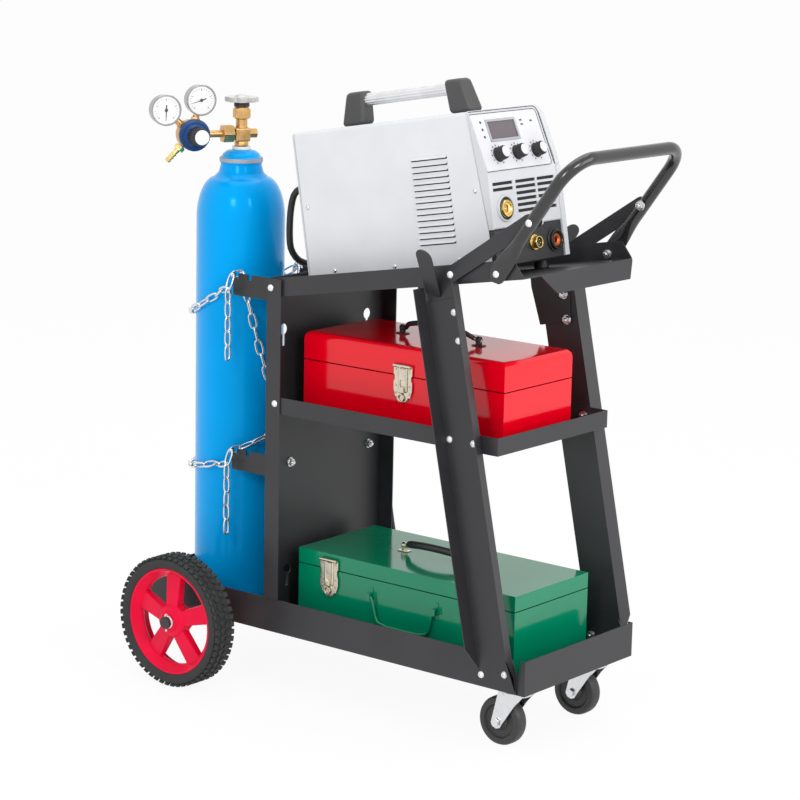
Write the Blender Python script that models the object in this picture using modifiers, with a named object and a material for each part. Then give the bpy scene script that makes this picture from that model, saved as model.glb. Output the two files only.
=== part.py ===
"""MIG welder, gas cylinder and two toolboxes on a three-tray welding cart.

Metres, +Z up. +X is the front, with the casters and the push handle, and -X the rear, with the big
wheels and the gas cylinder. -Y is the left side of whoever pushes. The origin is on the floor, under
the middle of the whole.
"""
import math

import bmesh
import bpy
from mathutils import Matrix, Vector

# Driving dimensions -------------------------------------------------------------------------------
MIDDLE_X = 0.0284          # middle of the whole length, in the cart's own layout
GAP = 0.0003                # between pieces that touch
SHEET = 0.0015              # thickness of the cart's steel sheet
WIDE = 0.0005               # how far a cutter stands out of what it cuts

BASE_Z = 0.082
BASE_LIP = 0.045
BASE_REAR = -0.326
BASE_FRONT = 0.321
TRAY_HALF = 0.1175          # half width of the base and the middle shelf
SHELF_Z = 0.377
SHELF_LIP = 0.0227
SHELF_FRONT = 0.270
TOP_HALF = 0.1157
TOP_TILT = math.radians(9.9)
TOP_FLOOR = 0.5383          # height of the top tray's underside, square to its slope
TOP_LIP = 0.0244
TOP_REAR = -0.007
TOP_FRONT = 0.398

PANEL_X = -0.106            # rear face of the panel
PANEL_TOP = 0.554
PANEL_FLANGE = 0.024
LEG_HALF = 0.11855          # where the middle of the legs' sheet lies
LEG_WIDTH = 0.052
LEG_FLANGE = 0.018
LEG_FLARE = math.radians(15)
LEG_LEAN = math.radians(12)
LEG_FOOT_X = 0.2831
LEG_TOP = 0.592

WHEEL_R = 0.089
WHEEL_X = -0.208
WHEEL_OUT = 0.197           # outer face of the tyre
TYRE_WIDTH = 0.038
RIM_R = 0.072
STUB_R = 0.006
CASTER_R = 0.03175
CASTER_X = 0.284            # swivel axis
CASTER_Y = 0.081
CASTER_TRAIL = 0.021
CASTER_WIDTH = 0.022

GAS_X = -0.260
GAS_R = 0.060
GAS_SHOULDER = 0.606
REGULATOR_TURN = math.radians(61.5)
REGULATOR_REACH = 0.070     # from the valve's axis to the regulator's
OUTLET_Z = 0.720
WHEEL_Z = 0.766             # middle of the valve's handwheel

WELDER_HALF = 0.074
WELDER_REAR = 0.020
WELDER_COVER_FRONT = 0.322
WELDER_FACE = 0.331
WELDER_BREAK = 0.668        # where the control panel starts to lean back
WELDER_TOP = 0.7450
WELDER_FOOT = 0.550
PANEL_SPLIT = 0.5983        # between the grey fascia and the black socket panel
PANEL_LEAN = math.atan2(0.020, 0.077)

VENT_ROWS = 4
LOUVRES = 15
LOUVRE_LOW = 0.5875
LOUVRE_HIGH = 0.6925
LOUVRE_REAR = 0.2130
LOUVRE_FRONT = 0.2700
COVER = 0.0012              # thickness of the welder's cover
GLAND_Y = -0.010
GLAND_W = 0.672
KNOBS = (("left_control_knob", -0.0435), ("middle_control_knob", -0.0045), ("right_control_knob", 0.0355))
KNOB_S = 0.0212             # up the leaning control panel, from its break line
TORCH_AT = (-0.0475, 0.6225)  # across and up the welder's front
CONTROL_AT = (0.0053, 0.5755)
EARTH_AT = (0.0485, 0.5745)
GAUGE_R = 0.0208

ARM_TIP = -0.213            # rear end of the cylinder brackets' arms
ARM_HALF = 0.065
ARM_SLOT = -0.207           # chain slot in use
SECOND_SLOT = -0.184
SLOT_HALF = 0.0032
SLOT_DEPTH = 0.0075
UPPER_ARM = (0.513, 0.543)  # lowest and highest edge of the upper bracket
LOWER_ARM = (0.275, 0.304)
HANDLE_HALF = 0.1306        # middle of the push handle's tube
HANDLE_R = 0.0095
LINK_WIRE = 0.0015
LINK_WIDE = 0.0060          # half of a link's width, outside
LINK_PITCH = 0.0192
LINK_BITE = 0.0004          # how far neighbouring links press into each other
CHAIN_R = GAS_R + 0.0068    # the chain's middle, round the cylinder

LEAD_R = 0.0045
COIL_CENTRE = (0.0300, 0.2480)
COIL_MEAN = 0.0527          # radius at the middle of the turns
COIL_TURNS = 3.4

RED_SPLIT = 0.4450          # height of the joint between box and lid
RED_TOP = 0.4830
GREEN_SPLIT = 0.1720
GREEN_TOP = 0.1930
BOX_WALL = 0.0012
HINGE_OUT = 0.0036          # hinge pin, out of the box's far face
HINGE_R = 0.0028
LATCH_TOP = 0.0135          # above the split
LATCH_DROP = 0.0335         # below the split
LATCH_HALF = 0.0150
HANDLE_WIRE = 0.0028        # radius of the toolbox handles' wire
BAIL_WIRE = 0.0022
BAIL_Y = -0.0830
BAIL_Z = 0.1500

PART = bpy.data.collections.new("mig_welder_on_cart")
CUTTERS = bpy.data.collections.new("cutters")

# colour, roughness, metallic
FINISHES = {
    "black_paint": ((0.022, 0.022, 0.024), 0.42, 0.0),
    "gloss_black": ((0.012, 0.012, 0.013), 0.22, 0.0),
    "zinc": ((0.62, 0.63, 0.64), 0.32, 1.0),
    "red_plastic": ((0.62, 0.012, 0.03), 0.35, 0.0),
    "rubber": ((0.018, 0.018, 0.019), 0.75, 0.0),
    "caster_rubber": ((0.03, 0.03, 0.031), 0.6, 0.0),
    "gas_blue": ((0.010, 0.245, 0.62), 0.3, 0.0),
    "brass": ((0.72, 0.47, 0.18), 0.3, 1.0),
    "clear_plastic": ((0.78, 0.78, 0.76), 0.25, 0.0),
    "chrome": ((0.75, 0.75, 0.76), 0.12, 1.0),
    "blue_plastic": ((0.012, 0.06, 0.36), 0.35, 0.0),
    "black_plastic": ((0.020, 0.020, 0.022), 0.45, 0.0),
    "welder_grey": ((0.52, 0.53, 0.54), 0.45, 0.0),
    "fascia_grey": ((0.42, 0.43, 0.44), 0.5, 0.0),
    "aluminium": ((0.68, 0.69, 0.70), 0.3, 1.0),
    "red_enamel": ((0.60, 0.010, 0.018), 0.25, 0.0),
    "green_enamel": ((0.0, 0.155, 0.075), 0.25, 0.0),
    "nickel": ((0.66, 0.62, 0.54), 0.28, 1.0),
    "lead_rubber": ((0.016, 0.016, 0.017), 0.6, 0.0),
}


# Helpers ------------------------------------------------------------------------------------------
def clear_scene():
    for obj in list(bpy.data.objects):
        bpy.data.objects.remove(obj, do_unlink=True)


def frame_empty(name, parent=None, at=(0, 0, 0), turn=(0, 0, 0)):
    """An empty that carries pieces which share a slope or an axis."""
    empty = bpy.data.objects.new(name, None)
    PART.objects.link(empty)
    empty.parent = parent
    empty.location = at
    empty.rotation_euler = turn
    return empty


def paint(obj, finish):
    colour, roughness, metallic = FINISHES[finish]
    material = bpy.data.materials.new(obj.name)
    material.use_nodes = True
    shader = material.node_tree.nodes["Principled BSDF"]
    shader.inputs["Base Color"].default_value = (*colour, 1.0)
    shader.inputs["Roughness"].default_value = roughness
    shader.inputs["Metallic"].default_value = metallic
    material.diffuse_color = (*colour, 1.0)
    obj.data.materials.clear()
    obj.data.materials.append(material)


def add(name, mesh, parent, finish=None, at=(0, 0, 0), turn=(0, 0, 0)):
    """A piece when it has a finish, otherwise a cutter or a shape to be joined."""
    obj = bpy.data.objects.new(name, mesh)
    obj.parent = parent
    obj.location = at
    obj.rotation_euler = turn
    if finish:
        PART.objects.link(obj)
        paint(obj, finish)
    else:
        CUTTERS.objects.link(obj)
        obj.hide_render = True
        obj.display_type = "WIRE"
    return obj


def mesh_from(bm, name):
    mesh = bpy.data.meshes.new(name)
    bm.to_mesh(mesh)
    bm.free()
    return mesh


def box_into(bm, low, high):
    size = Vector(high) - Vector(low)
    middle = (Vector(high) + Vector(low)) / 2
    made = bmesh.ops.create_cube(bm, size=1.0)
    bmesh.ops.scale(bm, vec=size, verts=made["verts"])
    bmesh.ops.translate(bm, vec=middle, verts=made["verts"])
    return made["verts"]


def box(name, low, high, parent, finish=None, at=(0, 0, 0), turn=(0, 0, 0)):
    bm = bmesh.new()
    box_into(bm, low, high)
    return add(name, mesh_from(bm, name), parent, finish, at, turn)


def boxes(name, spans, parent):
    """Several boxes in one cutter; they must not touch each other."""
    bm = bmesh.new()
    for low, high in spans:
        box_into(bm, low, high)
    return add(name, mesh_from(bm, name), parent)


def rod_into(bm, radius, low, high, axis, centre, sides, end_radius=None):
    """A cylinder or cone along an axis from low to high, through centre."""
    made = bmesh.ops.create_cone(bm, cap_ends=True, segments=sides, radius1=radius,
                                 radius2=radius if end_radius is None else end_radius, depth=high - low)
    turn = {"X": Matrix.Rotation(math.pi / 2, 4, "Y"), "Y": Matrix.Rotation(-math.pi / 2, 4, "X"),
            "Z": Matrix.Identity(4)}[axis]
    along = {"X": Vector((1, 0, 0)), "Y": Vector((0, 1, 0)), "Z": Vector((0, 0, 1))}[axis]
    shift = Matrix.Translation(Vector(centre) + along * (low + high) / 2)
    bmesh.ops.transform(bm, matrix=shift @ turn, verts=made["verts"])


def rods(name, spans, parent, finish=None, at=(0, 0, 0), turn=(0, 0, 0)):
    """Cylinders that do not touch: (radius, low, high, axis, centre, sides)."""
    bm = bmesh.new()
    for span in spans:
        rod_into(bm, *span)
    return add(name, mesh_from(bm, name), parent, finish, at, turn)


def open_box(name, low, high, open_sides, wall, parent, finish, at=(0, 0, 0), turn=(0, 0, 0)):
    """A folded box: a cube without some faces, thickened inwards."""
    bm = bmesh.new()
    box_into(bm, low, high)
    bm.normal_update()
    gone = [f for f in bm.faces if any(f.normal.dot(Vector(side)) > 0.9 for side in open_sides)]
    bmesh.ops.delete(bm, geom=gone, context="FACES_ONLY")
    obj = add(name, mesh_from(bm, name), parent, finish, at, turn)
    thicken(obj, wall, -1)
    return obj


def thicken(obj, thickness, offset):
    solid = obj.modifiers.new("sheet", "SOLIDIFY")
    solid.thickness = thickness
    solid.offset = offset
    solid.use_even_offset = True


def folded(name, profile, length, parent, finish=None, at=(0, 0, 0), turn=(0, 0, 0), wall=SHEET):
    """Sheet bent along a profile in X and Y, and extruded along Z."""
    bm = bmesh.new()
    verts = [bm.verts.new((x, y, 0)) for x, y in profile]
    edges = [bm.edges.new(pair) for pair in zip(verts, verts[1:])]
    made = bmesh.ops.extrude_edge_only(bm, edges=edges)
    top = [v for v in made["geom"] if isinstance(v, bmesh.types.BMVert)]
    bmesh.ops.translate(bm, vec=(0, 0, length), verts=top)
    bmesh.ops.recalc_face_normals(bm, faces=bm.faces[:])
    obj = add(name, mesh_from(bm, name), parent, finish, at, turn)
    thicken(obj, wall, 0)
    return obj


def turned(name, profile, steps, parent, finish=None, at=(0, 0, 0), turn=(0, 0, 0), ring=False):
    """A profile of (radius, height), from top to bottom, spun round Z."""
    bm = bmesh.new()
    verts = [bm.verts.new((radius, 0, height)) for radius, height in profile]
    for pair in zip(verts, verts[1:]):
        bm.edges.new(pair)
    if ring:
        bm.edges.new((verts[-1], verts[0]))
    obj = add(name, mesh_from(bm, name), parent, finish, at, turn)
    screw = obj.modifiers.new("lathe", "SCREW")
    screw.axis = "Z"
    screw.angle = math.tau
    screw.steps = steps
    screw.render_steps = steps
    screw.use_merge_vertices = True
    screw.merge_threshold = 1e-6
    return obj


def curve_mesh(curve, name):
    """The mesh of a curve, with its caps welded on."""
    holder = bpy.data.objects.new(name, curve)
    CUTTERS.objects.link(holder)
    bpy.context.view_layer.update()
    depsgraph = bpy.context.evaluated_depsgraph_get()
    mesh = bpy.data.meshes.new_from_object(holder.evaluated_get(depsgraph))
    bpy.data.objects.remove(holder)
    bm = bmesh.new()
    bm.from_mesh(mesh)
    bmesh.ops.remove_doubles(bm, verts=bm.verts[:], dist=1e-6)
    bmesh.ops.recalc_face_normals(bm, faces=bm.faces[:])
    bm.to_mesh(mesh)
    bm.free()
    mesh.name = name
    return mesh


def tube(name, points, radius, parent, finish=None, resolution=2, closed=False):
    curve = bpy.data.curves.new(name, "CURVE")
    curve.dimensions = "3D"
    curve.bevel_depth = radius
    curve.bevel_resolution = resolution
    curve.use_fill_caps = not closed
    spline = curve.splines.new("POLY")
    spline.points.add(len(points) - 1)
    for point, place in zip(spline.points, points):
        point.co = (*place, 1.0)
    spline.use_cyclic_u = closed
    return add(name, curve_mesh(curve, name), parent, finish)


def plate(name, outline, thickness, parent, finish=None, holes=(), at=(0, 0, 0), turn=(0, 0, 0)):
    """A flat outline in X and Y, with holes, half its thickness to each side of Z = 0."""
    curve = bpy.data.curves.new(name, "CURVE")
    curve.dimensions = "2D"
    curve.fill_mode = "BOTH"
    curve.extrude = thickness / 2
    for loop in (outline, *holes):
        spline = curve.splines.new("POLY")
        spline.points.add(len(loop) - 1)
        for point, (x, y) in zip(spline.points, loop):
            point.co = (x, y, 0.0, 1.0)
        spline.use_cyclic_u = True
    return add(name, curve_mesh(curve, name), parent, finish, at, turn)


def boolean(obj, other, operation):
    step = obj.modifiers.new(other.name, "BOOLEAN")
    step.operation = operation
    step.object = other
    step.solver = "EXACT"


def cut(obj, *others):
    for other in others:
        boolean(obj, other, "DIFFERENCE")


def join(obj, *others):
    for other in others:
        boolean(obj, other, "UNION")


def bevel(obj, width, segments=1, angle=30):
    step = obj.modifiers.new("rounded edges", "BEVEL")
    step.width = width
    step.segments = segments
    step.limit_method = "ANGLE"
    step.angle_limit = math.radians(angle)


def arc(centre, radius, start, end, steps):
    """Points on an arc in a plane, angles in degrees."""
    angles = [math.radians(start + (end - start) * i / steps) for i in range(steps + 1)]
    return [(centre[0] + radius * math.cos(a), centre[1] + radius * math.sin(a)) for a in angles]


def smooth_path(points, spacing):
    """Evenly spaced points on a smooth curve through the given ones."""
    knots = [Vector(p) for p in points]
    knots = [2 * knots[0] - knots[1], *knots, 2 * knots[-1] - knots[-2]]
    fine = []
    for a, b, c, d in zip(knots, knots[1:], knots[2:], knots[3:]):
        for i in range(40):
            t = i / 40
            fine.append(0.5 * (2 * b + (c - a) * t + (2 * a - 5 * b + 4 * c - d) * t * t
                               + (3 * b - a - 3 * c + d) * t ** 3))
    fine.append(knots[-2])
    lengths = [0.0]
    for a, b in zip(fine, fine[1:]):
        lengths.append(lengths[-1] + (b - a).length)
    count = max(2, round(lengths[-1] / spacing))
    out = []
    step = 0
    for i in range(count + 1):
        want = lengths[-1] * i / count
        while step < len(fine) - 2 and lengths[step + 1] < want:
            step += 1
        span = lengths[step + 1] - lengths[step]
        out.append(fine[step].lerp(fine[step + 1], (want - lengths[step]) / span if span else 0.0))
    return out, lengths[-1]


UP_Y = (math.pi / 2, 0, 0)              # outline in X and Z, thickness along Y
ALONG_X = (math.pi / 2, 0, math.pi / 2)  # outline in Y and Z, thickness along X
FACE_LEFT = (math.pi / 2, 0, 0)         # turned shapes whose top faces -Y
FACE_FRONT = (0, math.pi / 2, 0)        # turned shapes whose top faces +X


# Cart frame ---------------------------------------------------------------------------------------
def make_base_tray(cart):
    """Deep open tray with a stub axle welded to each side, and notched front corners."""
    tray = open_box("base_tray", (BASE_REAR, -TRAY_HALF, BASE_Z), (BASE_FRONT, TRAY_HALF, BASE_Z + BASE_LIP),
                    [(0, 0, 1)], SHEET, cart, "black_paint")
    notch = [(BASE_FRONT - 0.022, 0.128), (BASE_FRONT - 0.006, 0.128), (BASE_FRONT - 0.011, 0.104)]
    cut(tray, plate("corner_notches", notch, 0.3, cart, turn=UP_Y))
    for side in (-1, 1):
        shaft_end = WHEEL_OUT + 0.0045
        profile = [(0, shaft_end), (0.0085, shaft_end), (0.0085, WHEEL_OUT + 0.0008),
                   (STUB_R, WHEEL_OUT + 0.0008),
                   (STUB_R, 0.1560), (0.012, 0.1560), (0.012, TRAY_HALF - 0.0008), (0, TRAY_HALF - 0.0008)]
        join(tray, turned(f"stub_axle_{side}", profile, 12, cart, at=(WHEEL_X, 0, WHEEL_R),
                          turn=(-side * math.pi / 2, 0, 0)))


def make_middle_shelf(cart):
    open_box("middle_shelf", (PANEL_X + SHEET + GAP, -TRAY_HALF, SHELF_Z),
             (SHELF_FRONT, TRAY_HALF, SHELF_Z + SHELF_LIP), [(0, 0, 1)], SHEET, cart, "black_paint")


def make_top_tray(slope):
    """Tray without a front lip: a tapered flap hangs from its front edge instead."""
    tray = open_box("top_tray", (TOP_REAR, -TOP_HALF, TOP_FLOOR), (TOP_FRONT, TOP_HALF, TOP_FLOOR + TOP_LIP),
                    [(0, 0, 1), (1, 0, 0)], SHEET, slope, "black_paint")
    taper = [(TOP_FRONT - 0.012, TOP_FLOOR + TOP_LIP + WIDE), (TOP_FRONT + WIDE, TOP_FLOOR + TOP_LIP + WIDE),
             (TOP_FRONT + WIDE, TOP_FLOOR + SHEET + WIDE)]
    cut(tray, plate("lip_taper", taper, 0.3, slope, turn=UP_Y))
    flap = [(-0.080, TOP_FLOOR + SHEET), (TOP_HALF, TOP_FLOOR + SHEET), (TOP_HALF, TOP_FLOOR - 0.002),
            (0.107, TOP_FLOOR - 0.024), (-0.051, TOP_FLOOR - 0.024), (-0.080, TOP_FLOOR)]
    join(tray, plate("front_flap", flap, SHEET, slope, at=(TOP_FRONT - 0.0002, 0, 0), turn=ALONG_X))


def keyhole(y, top, bottom):
    """Slot 8 mm wide that ends in a 14 mm hole for a screw's head."""
    slot = 0.004
    head = 0.007
    side = math.degrees(math.asin(slot / head))
    return ([(y + a, top - slot + b) for a, b in arc((0, 0), slot, 0, 180, 6)]
            + [(y + a, bottom + head + b) for a, b in arc((0, 0), head, 90 + side, 450 - side, 12)])


def make_rear_panel(cart):
    """U-shaped sheet: flanges run forward, keyholes near the corners, the web stands on the base."""
    middle = PANEL_X + SHEET / 2
    profile = [(middle + PANEL_FLANGE - SHEET / 2, -LEG_HALF), (middle, -LEG_HALF), (middle, LEG_HALF),
               (middle + PANEL_FLANGE - SHEET / 2, LEG_HALF)]
    foot = BASE_Z + BASE_LIP + GAP
    panel = folded("rear_panel", profile, PANEL_TOP - foot, cart, "black_paint", at=(0, 0, foot))
    half = TRAY_HALF - SHEET - GAP
    join(panel, box("panel_foot", (PANEL_X + 0.00001, -half, BASE_Z + SHEET + GAP),
                    (PANEL_X + SHEET - 0.00001, half, foot + 0.002), cart))
    for number, (y, top, bottom) in enumerate(((0.0855, 0.492, 0.460), (-0.0855, 0.492, 0.460),
                                               (0.073, 0.166, 0.134), (-0.073, 0.166, 0.134))):
        cut(panel, plate(f"keyhole_{number}", keyhole(y, top, bottom), 0.01, cart, at=(middle, 0, 0),
                         turn=ALONG_X))


def make_cylinder_bracket(name, low, high, cart):
    """U-shaped cradle whose arms reach back round the cylinder; chain slots are open at the top."""
    wall = 0.0025
    web = PANEL_X - GAP - wall / 2
    profile = [(ARM_TIP, -ARM_HALF), (web, -ARM_HALF), (web, ARM_HALF), (ARM_TIP, ARM_HALF)]
    bracket = folded(name, profile, high - low, cart, "black_paint", at=(0, 0, low), wall=wall)
    slots = [((x - SLOT_HALF, -0.08, high - SLOT_DEPTH), (x + SLOT_HALF, 0.08, high + 0.01))
             for x in (ARM_SLOT, SECOND_SLOT)]
    cut(bracket, boxes(name + "_slots", slots, cart))


def make_leg(name, side, cart):
    """Channel that opens outwards, flared flanges, cut level at the foot and slanted at the top."""
    half = LEG_WIDTH / 2
    out_x = half + LEG_FLANGE * math.sin(LEG_FLARE)
    out_y = LEG_HALF + LEG_FLANGE * math.cos(LEG_FLARE)
    profile = [(-out_x, side * out_y), (-half, side * LEG_HALF), (half, side * LEG_HALF),
               (out_x, side * out_y)]
    drop = 0.03
    leg = folded(name, profile, (LEG_TOP - BASE_Z) / math.cos(LEG_LEAN) + 2 * drop, cart, "black_paint",
                 at=(LEG_FOOT_X + drop * math.sin(LEG_LEAN), 0, BASE_Z - drop * math.cos(LEG_LEAN)),
                 turn=(0, -LEG_LEAN, 0))
    foot = BASE_Z + 0.001
    below = box(name + "_foot_cut", (0.2, -0.2, 0.0), (0.4, 0.2, foot), cart)
    flange = side * (LEG_HALF + SHEET / 2 + 0.0004)
    point = [(flange, 0.05), (flange, 0.104), (side * 0.145, 0.146), (side * 0.145, 0.05)]
    toe = plate(name + "_flange_cut", point, 0.2, cart, at=(LEG_FOOT_X, 0, 0), turn=ALONG_X)
    slant = [(0.10, 0.5575), (0.26, 0.6027), (0.26, 0.72), (0.10, 0.72)]
    top = plate(name + "_top_cut", slant, 0.4, cart, turn=UP_Y)
    ledge = [(0.1430, 0.5505), (0.2020, 0.5655), (0.1950, 0.62), (0.1300, 0.62)]
    window = plate(name + "_ledge_cut", ledge, 0.0040, cart, at=(0, side * LEG_HALF, 0), turn=UP_Y)
    cut(leg, below, toe, top, window)


def make_cable_hook(name, side, cart):
    """Plate between the leg and the top tray, with a rounded strap that leans out for the cables."""
    wall = SHEET
    y = side * (TRAY_HALF - wall / 2)
    outline = [(0.1600, 0.497), (0.2080, 0.507), (0.2000, 0.6005), (0.1380, 0.586), (0.1440, 0.545)]
    hook = plate(name, outline, wall, cart, "black_paint", at=(0, y, 0), turn=UP_Y)
    start = Vector((0.1655, side * 0.1168, 0.5630))
    end = Vector((0.1800, side * 0.1610, 0.6260))
    along = (end - start).normalized()
    across = (Vector((1, 0, 0)) - along * along.x).normalized()
    face = across.cross(along)
    reach = (end - start).length
    half = 0.011
    strap = ([(-half, 0), (half, 0)] + [(x, y) for x, y in arc((0, reach - half), half, 0, 180, 8)])
    turn = Matrix((across, along, face)).transposed().to_euler()
    join(hook, plate(name + "_strap", strap, 0.002, cart, at=start, turn=turn))


def rounded_corner(before, corner, after, radius, steps):
    """Points that round the corner of a path."""
    a = (before - corner).normalized()
    b = (after - corner).normalized()
    half = a.angle(b) / 2
    reach = radius / math.tan(half)
    centre = corner + (a + b).normalized() * radius / math.sin(half)
    start = corner + a * reach - centre
    end = corner + b * reach - centre
    sweep = start.angle(end)
    shares = [i / steps for i in range(steps + 1)]
    return [centre + (start * math.sin(sweep * (1 - t)) + end * math.sin(sweep * t)) / math.sin(sweep)
            for t in shares]


def make_push_handle(cart):
    """Bent tube with a flattened, bolted end on each side of the top tray."""
    low = Vector((0.2560, -HANDLE_HALF, 0.5950))
    high = Vector((0.3780, -HANDLE_HALF, 0.7560))
    far_high = Vector((high.x, HANDLE_HALF, high.z))
    far_low = Vector((low.x, HANDLE_HALF, low.z))
    path = [low + (high - low).normalized() * 0.018]
    path += rounded_corner(low, high, far_high, 0.040, 6)
    path += rounded_corner(high, far_high, far_low, 0.040, 6)
    path.append(far_low + (far_high - far_low).normalized() * 0.018)
    handle = tube("push_handle", path, HANDLE_R, cart, "gloss_black", resolution=4)
    angle = math.atan2(high.z - low.z, high.x - low.x)
    half = 0.0125
    flat = arc((0, 0), half, 90, 270, 8) + [(0.040, -HANDLE_R + 0.0005), (0.040, HANDLE_R - 0.0005)]
    for side in (-1, 1):
        inner = TOP_HALF + GAP
        outer = HANDLE_HALF - HANDLE_R + 0.0012
        join(handle, plate(f"flat_end_{side}", flat, outer - inner, cart,
                           at=(low.x, side * (inner + outer) / 2, low.z), turn=(math.pi / 2, -angle, 0)))


def make_brace(name, side, cart):
    """Flat strap from the top tray up to the push handle."""
    low = Vector((0.1960, 0, 0.5950))
    high = Vector((0.3080, 0, 0.6690))
    length = (high - low).length
    half = 0.010
    outline = arc((0, 0), half, 90, 270, 8) + arc((length, 0), half, -90, 90, 8)
    inner = TRAY_HALF + GAP
    outer = inner + 0.003
    plate(name, outline, outer - inner, cart, "black_paint", at=(low.x, side * (inner + outer) / 2, low.z),
          turn=(math.pi / 2, -math.atan2(high.z - low.z, high.x - low.x), 0))


# Wheels and casters -------------------------------------------------------------------------------
def make_wheel(name, side, cart):
    """Five-spoked plastic rim in a treaded tyre, free on its stub axle."""
    at = (WHEEL_X, side * (WHEEL_OUT - TYRE_WIDTH / 2), WHEEL_R)
    turn = (-side * math.pi / 2, 0, 0)        # the outer face is the top of the profile
    half = TYRE_WIDTH / 2
    bead = half - 0.0035
    rim = [(RIM_R - GAP, bead), (RIM_R - GAP, -bead), (0.0665, -bead), (0.0655, -0.002), (0.0190, -0.004),
           (0.0170, -0.016), (STUB_R + GAP, -0.016), (STUB_R + GAP, half - 0.002), (0.0120, half - 0.002),
           (0.0170, 0.0085), (0.0560, 0.0085), (0.0630, bead)]
    wheel = turned(f"{name}_rim", rim, 32, cart, "red_plastic", at=at, turn=turn, ring=True)
    windows = frame_empty(f"{name}_windows", cart, at, turn)
    for number in range(5):
        middle = math.radians(90 + 36 + 72 * number)
        outline = [(r * math.cos(middle + w), r * math.sin(middle + w))
                   for r, w in ((0.0295, -0.34), (0.0590, -0.43), (0.0620, 0.0), (0.0590, 0.43),
                                (0.0295, 0.34))]
        cut(wheel, plate(f"{name}_window_{number}", outline, 0.06, windows))
    tyre = [(RIM_R, bead), (RIM_R, -bead), (0.0790, -half), (0.0855, -half + 0.003), (WHEEL_R, -half + 0.009),
            (WHEEL_R, half - 0.009), (0.0855, half - 0.003), (0.0790, half)]
    rubber = turned(f"{name}_tyre", list(reversed(tyre)), 32, cart, "rubber", at=at, turn=turn, ring=True)
    bm = bmesh.new()
    grooves = 11
    for number in range(2 * grooves):
        face = 1 if number % 2 else -1
        verts = box_into(bm, (0.0850, -0.0035, face * 0.0035), (0.0960, 0.0035, face * (half + 0.002)))
        spin = Matrix.Rotation(math.tau * number / (2 * grooves), 4, "Z")
        spin = spin @ Matrix.Rotation(face * 0.25, 4, "X")
        bmesh.ops.transform(bm, matrix=spin, verts=verts)
    cut(rubber, add(f"{name}_tread", mesh_from(bm, f"{name}_tread"), windows))


def make_caster(name, y, cart):
    """Swivel caster: bolted plate, zinc fork that trails, black wheel."""
    top = BASE_Z - GAP
    plate_low = top - 0.0025
    box(f"{name}_plate", (CASTER_X - 0.030, y - 0.022, plate_low), (CASTER_X + 0.026, y + 0.022, top), cart,
        "zinc")
    race_top = plate_low - GAP
    fork = turned(f"{name}_fork", [(0, race_top), (0.017, race_top), (0.021, race_top - 0.004),
                                   (0.019, race_top - 0.009), (0, race_top - 0.009)], 16, cart, "zinc",
                  at=(CASTER_X, y, 0))
    axle = Vector((CASTER_X - CASTER_TRAIL, y, CASTER_R))
    crown = race_top - 0.006
    cheek = [(CASTER_X - 0.019, crown), *[(axle.x + a, axle.z + b)
                                          for a, b in arc((0, 0), 0.0085, 190, 350, 4)],
             (CASTER_X + 0.006, 0.058), (CASTER_X + 0.0185, crown)]
    inner = CASTER_WIDTH / 2 + 0.0012
    for side in (-1, 1):
        join(fork, plate(f"{name}_cheek_{side}", cheek, 0.0022, cart, at=(0, y + side * (inner + 0.0011), 0),
                         turn=UP_Y))
    join(fork, box(f"{name}_crown", (CASTER_X - 0.018, y - inner - 0.0010, crown - 0.0020),
                   (CASTER_X + 0.017, y + inner + 0.0010, crown + 0.001), cart))
    join(fork, rods(f"{name}_axle", [(0.0040, -inner - 0.0050, inner + 0.0050, "Y", axle, 10)], cart))
    half = CASTER_WIDTH / 2
    wheel = [(0.0105, half), (0.0120, half - 0.004), (0.0210, half - 0.004), (0.0240, half - 0.001),
             (0.0290, half - 0.001), (CASTER_R, half - 0.004), (CASTER_R, -half + 0.004),
             (0.0290, -half + 0.001),
             (0.0105, -half), (0.0040 + GAP, -half), (0.0040 + GAP, half)]
    turned(f"{name}_wheel", wheel, 18, cart, "caster_rubber", at=axle, turn=FACE_LEFT, ring=True)


# Chains -------------------------------------------------------------------------------------------
def link_outline():
    """Centre line of one link's wire: two half rounds, in X and Y."""
    bend = LINK_WIDE - LINK_WIRE
    reach = (LINK_PITCH - LINK_BITE) / 2 - (bend - LINK_WIRE) * math.cos(math.radians(30))
    right = arc((reach, 0), bend, -90, 90, 3)
    left = arc((-reach, 0), bend, 90, 270, 3)
    return [(x, y, 0) for x, y in right + left]


def march(fine):
    """Points one pitch apart, as the crow flies, along a fine path; the last is a part of a step."""
    points = [fine[0]]
    for a, b in zip(fine, fine[1:]):
        while (b - points[-1]).length >= LINK_PITCH:
            low, high = 0.0, 1.0
            for _ in range(30):
                share = (low + high) / 2
                if (a.lerp(b, share) - points[-1]).length < LINK_PITCH:
                    low = share
                else:
                    high = share
            points.append(a.lerp(b, high))
    return points, (fine[-1] - points[-1]).length / LINK_PITCH


def strand(shape, sag):
    """Joints of a strand whose ends stay put: its sag is changed until whole links fit."""
    points, rest = march(shape(sag))
    count = round(len(points) - 1 + rest)
    low, high = sag - 0.030, sag + 0.030
    for _ in range(40):
        middle = (low + high) / 2
        points, rest = march(shape(middle))
        if len(points) - 1 + rest > count:
            high = middle
        else:
            low = middle
    points, rest = march(shape(low))
    return points[:count] + [shape(low)[-1]]


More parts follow.
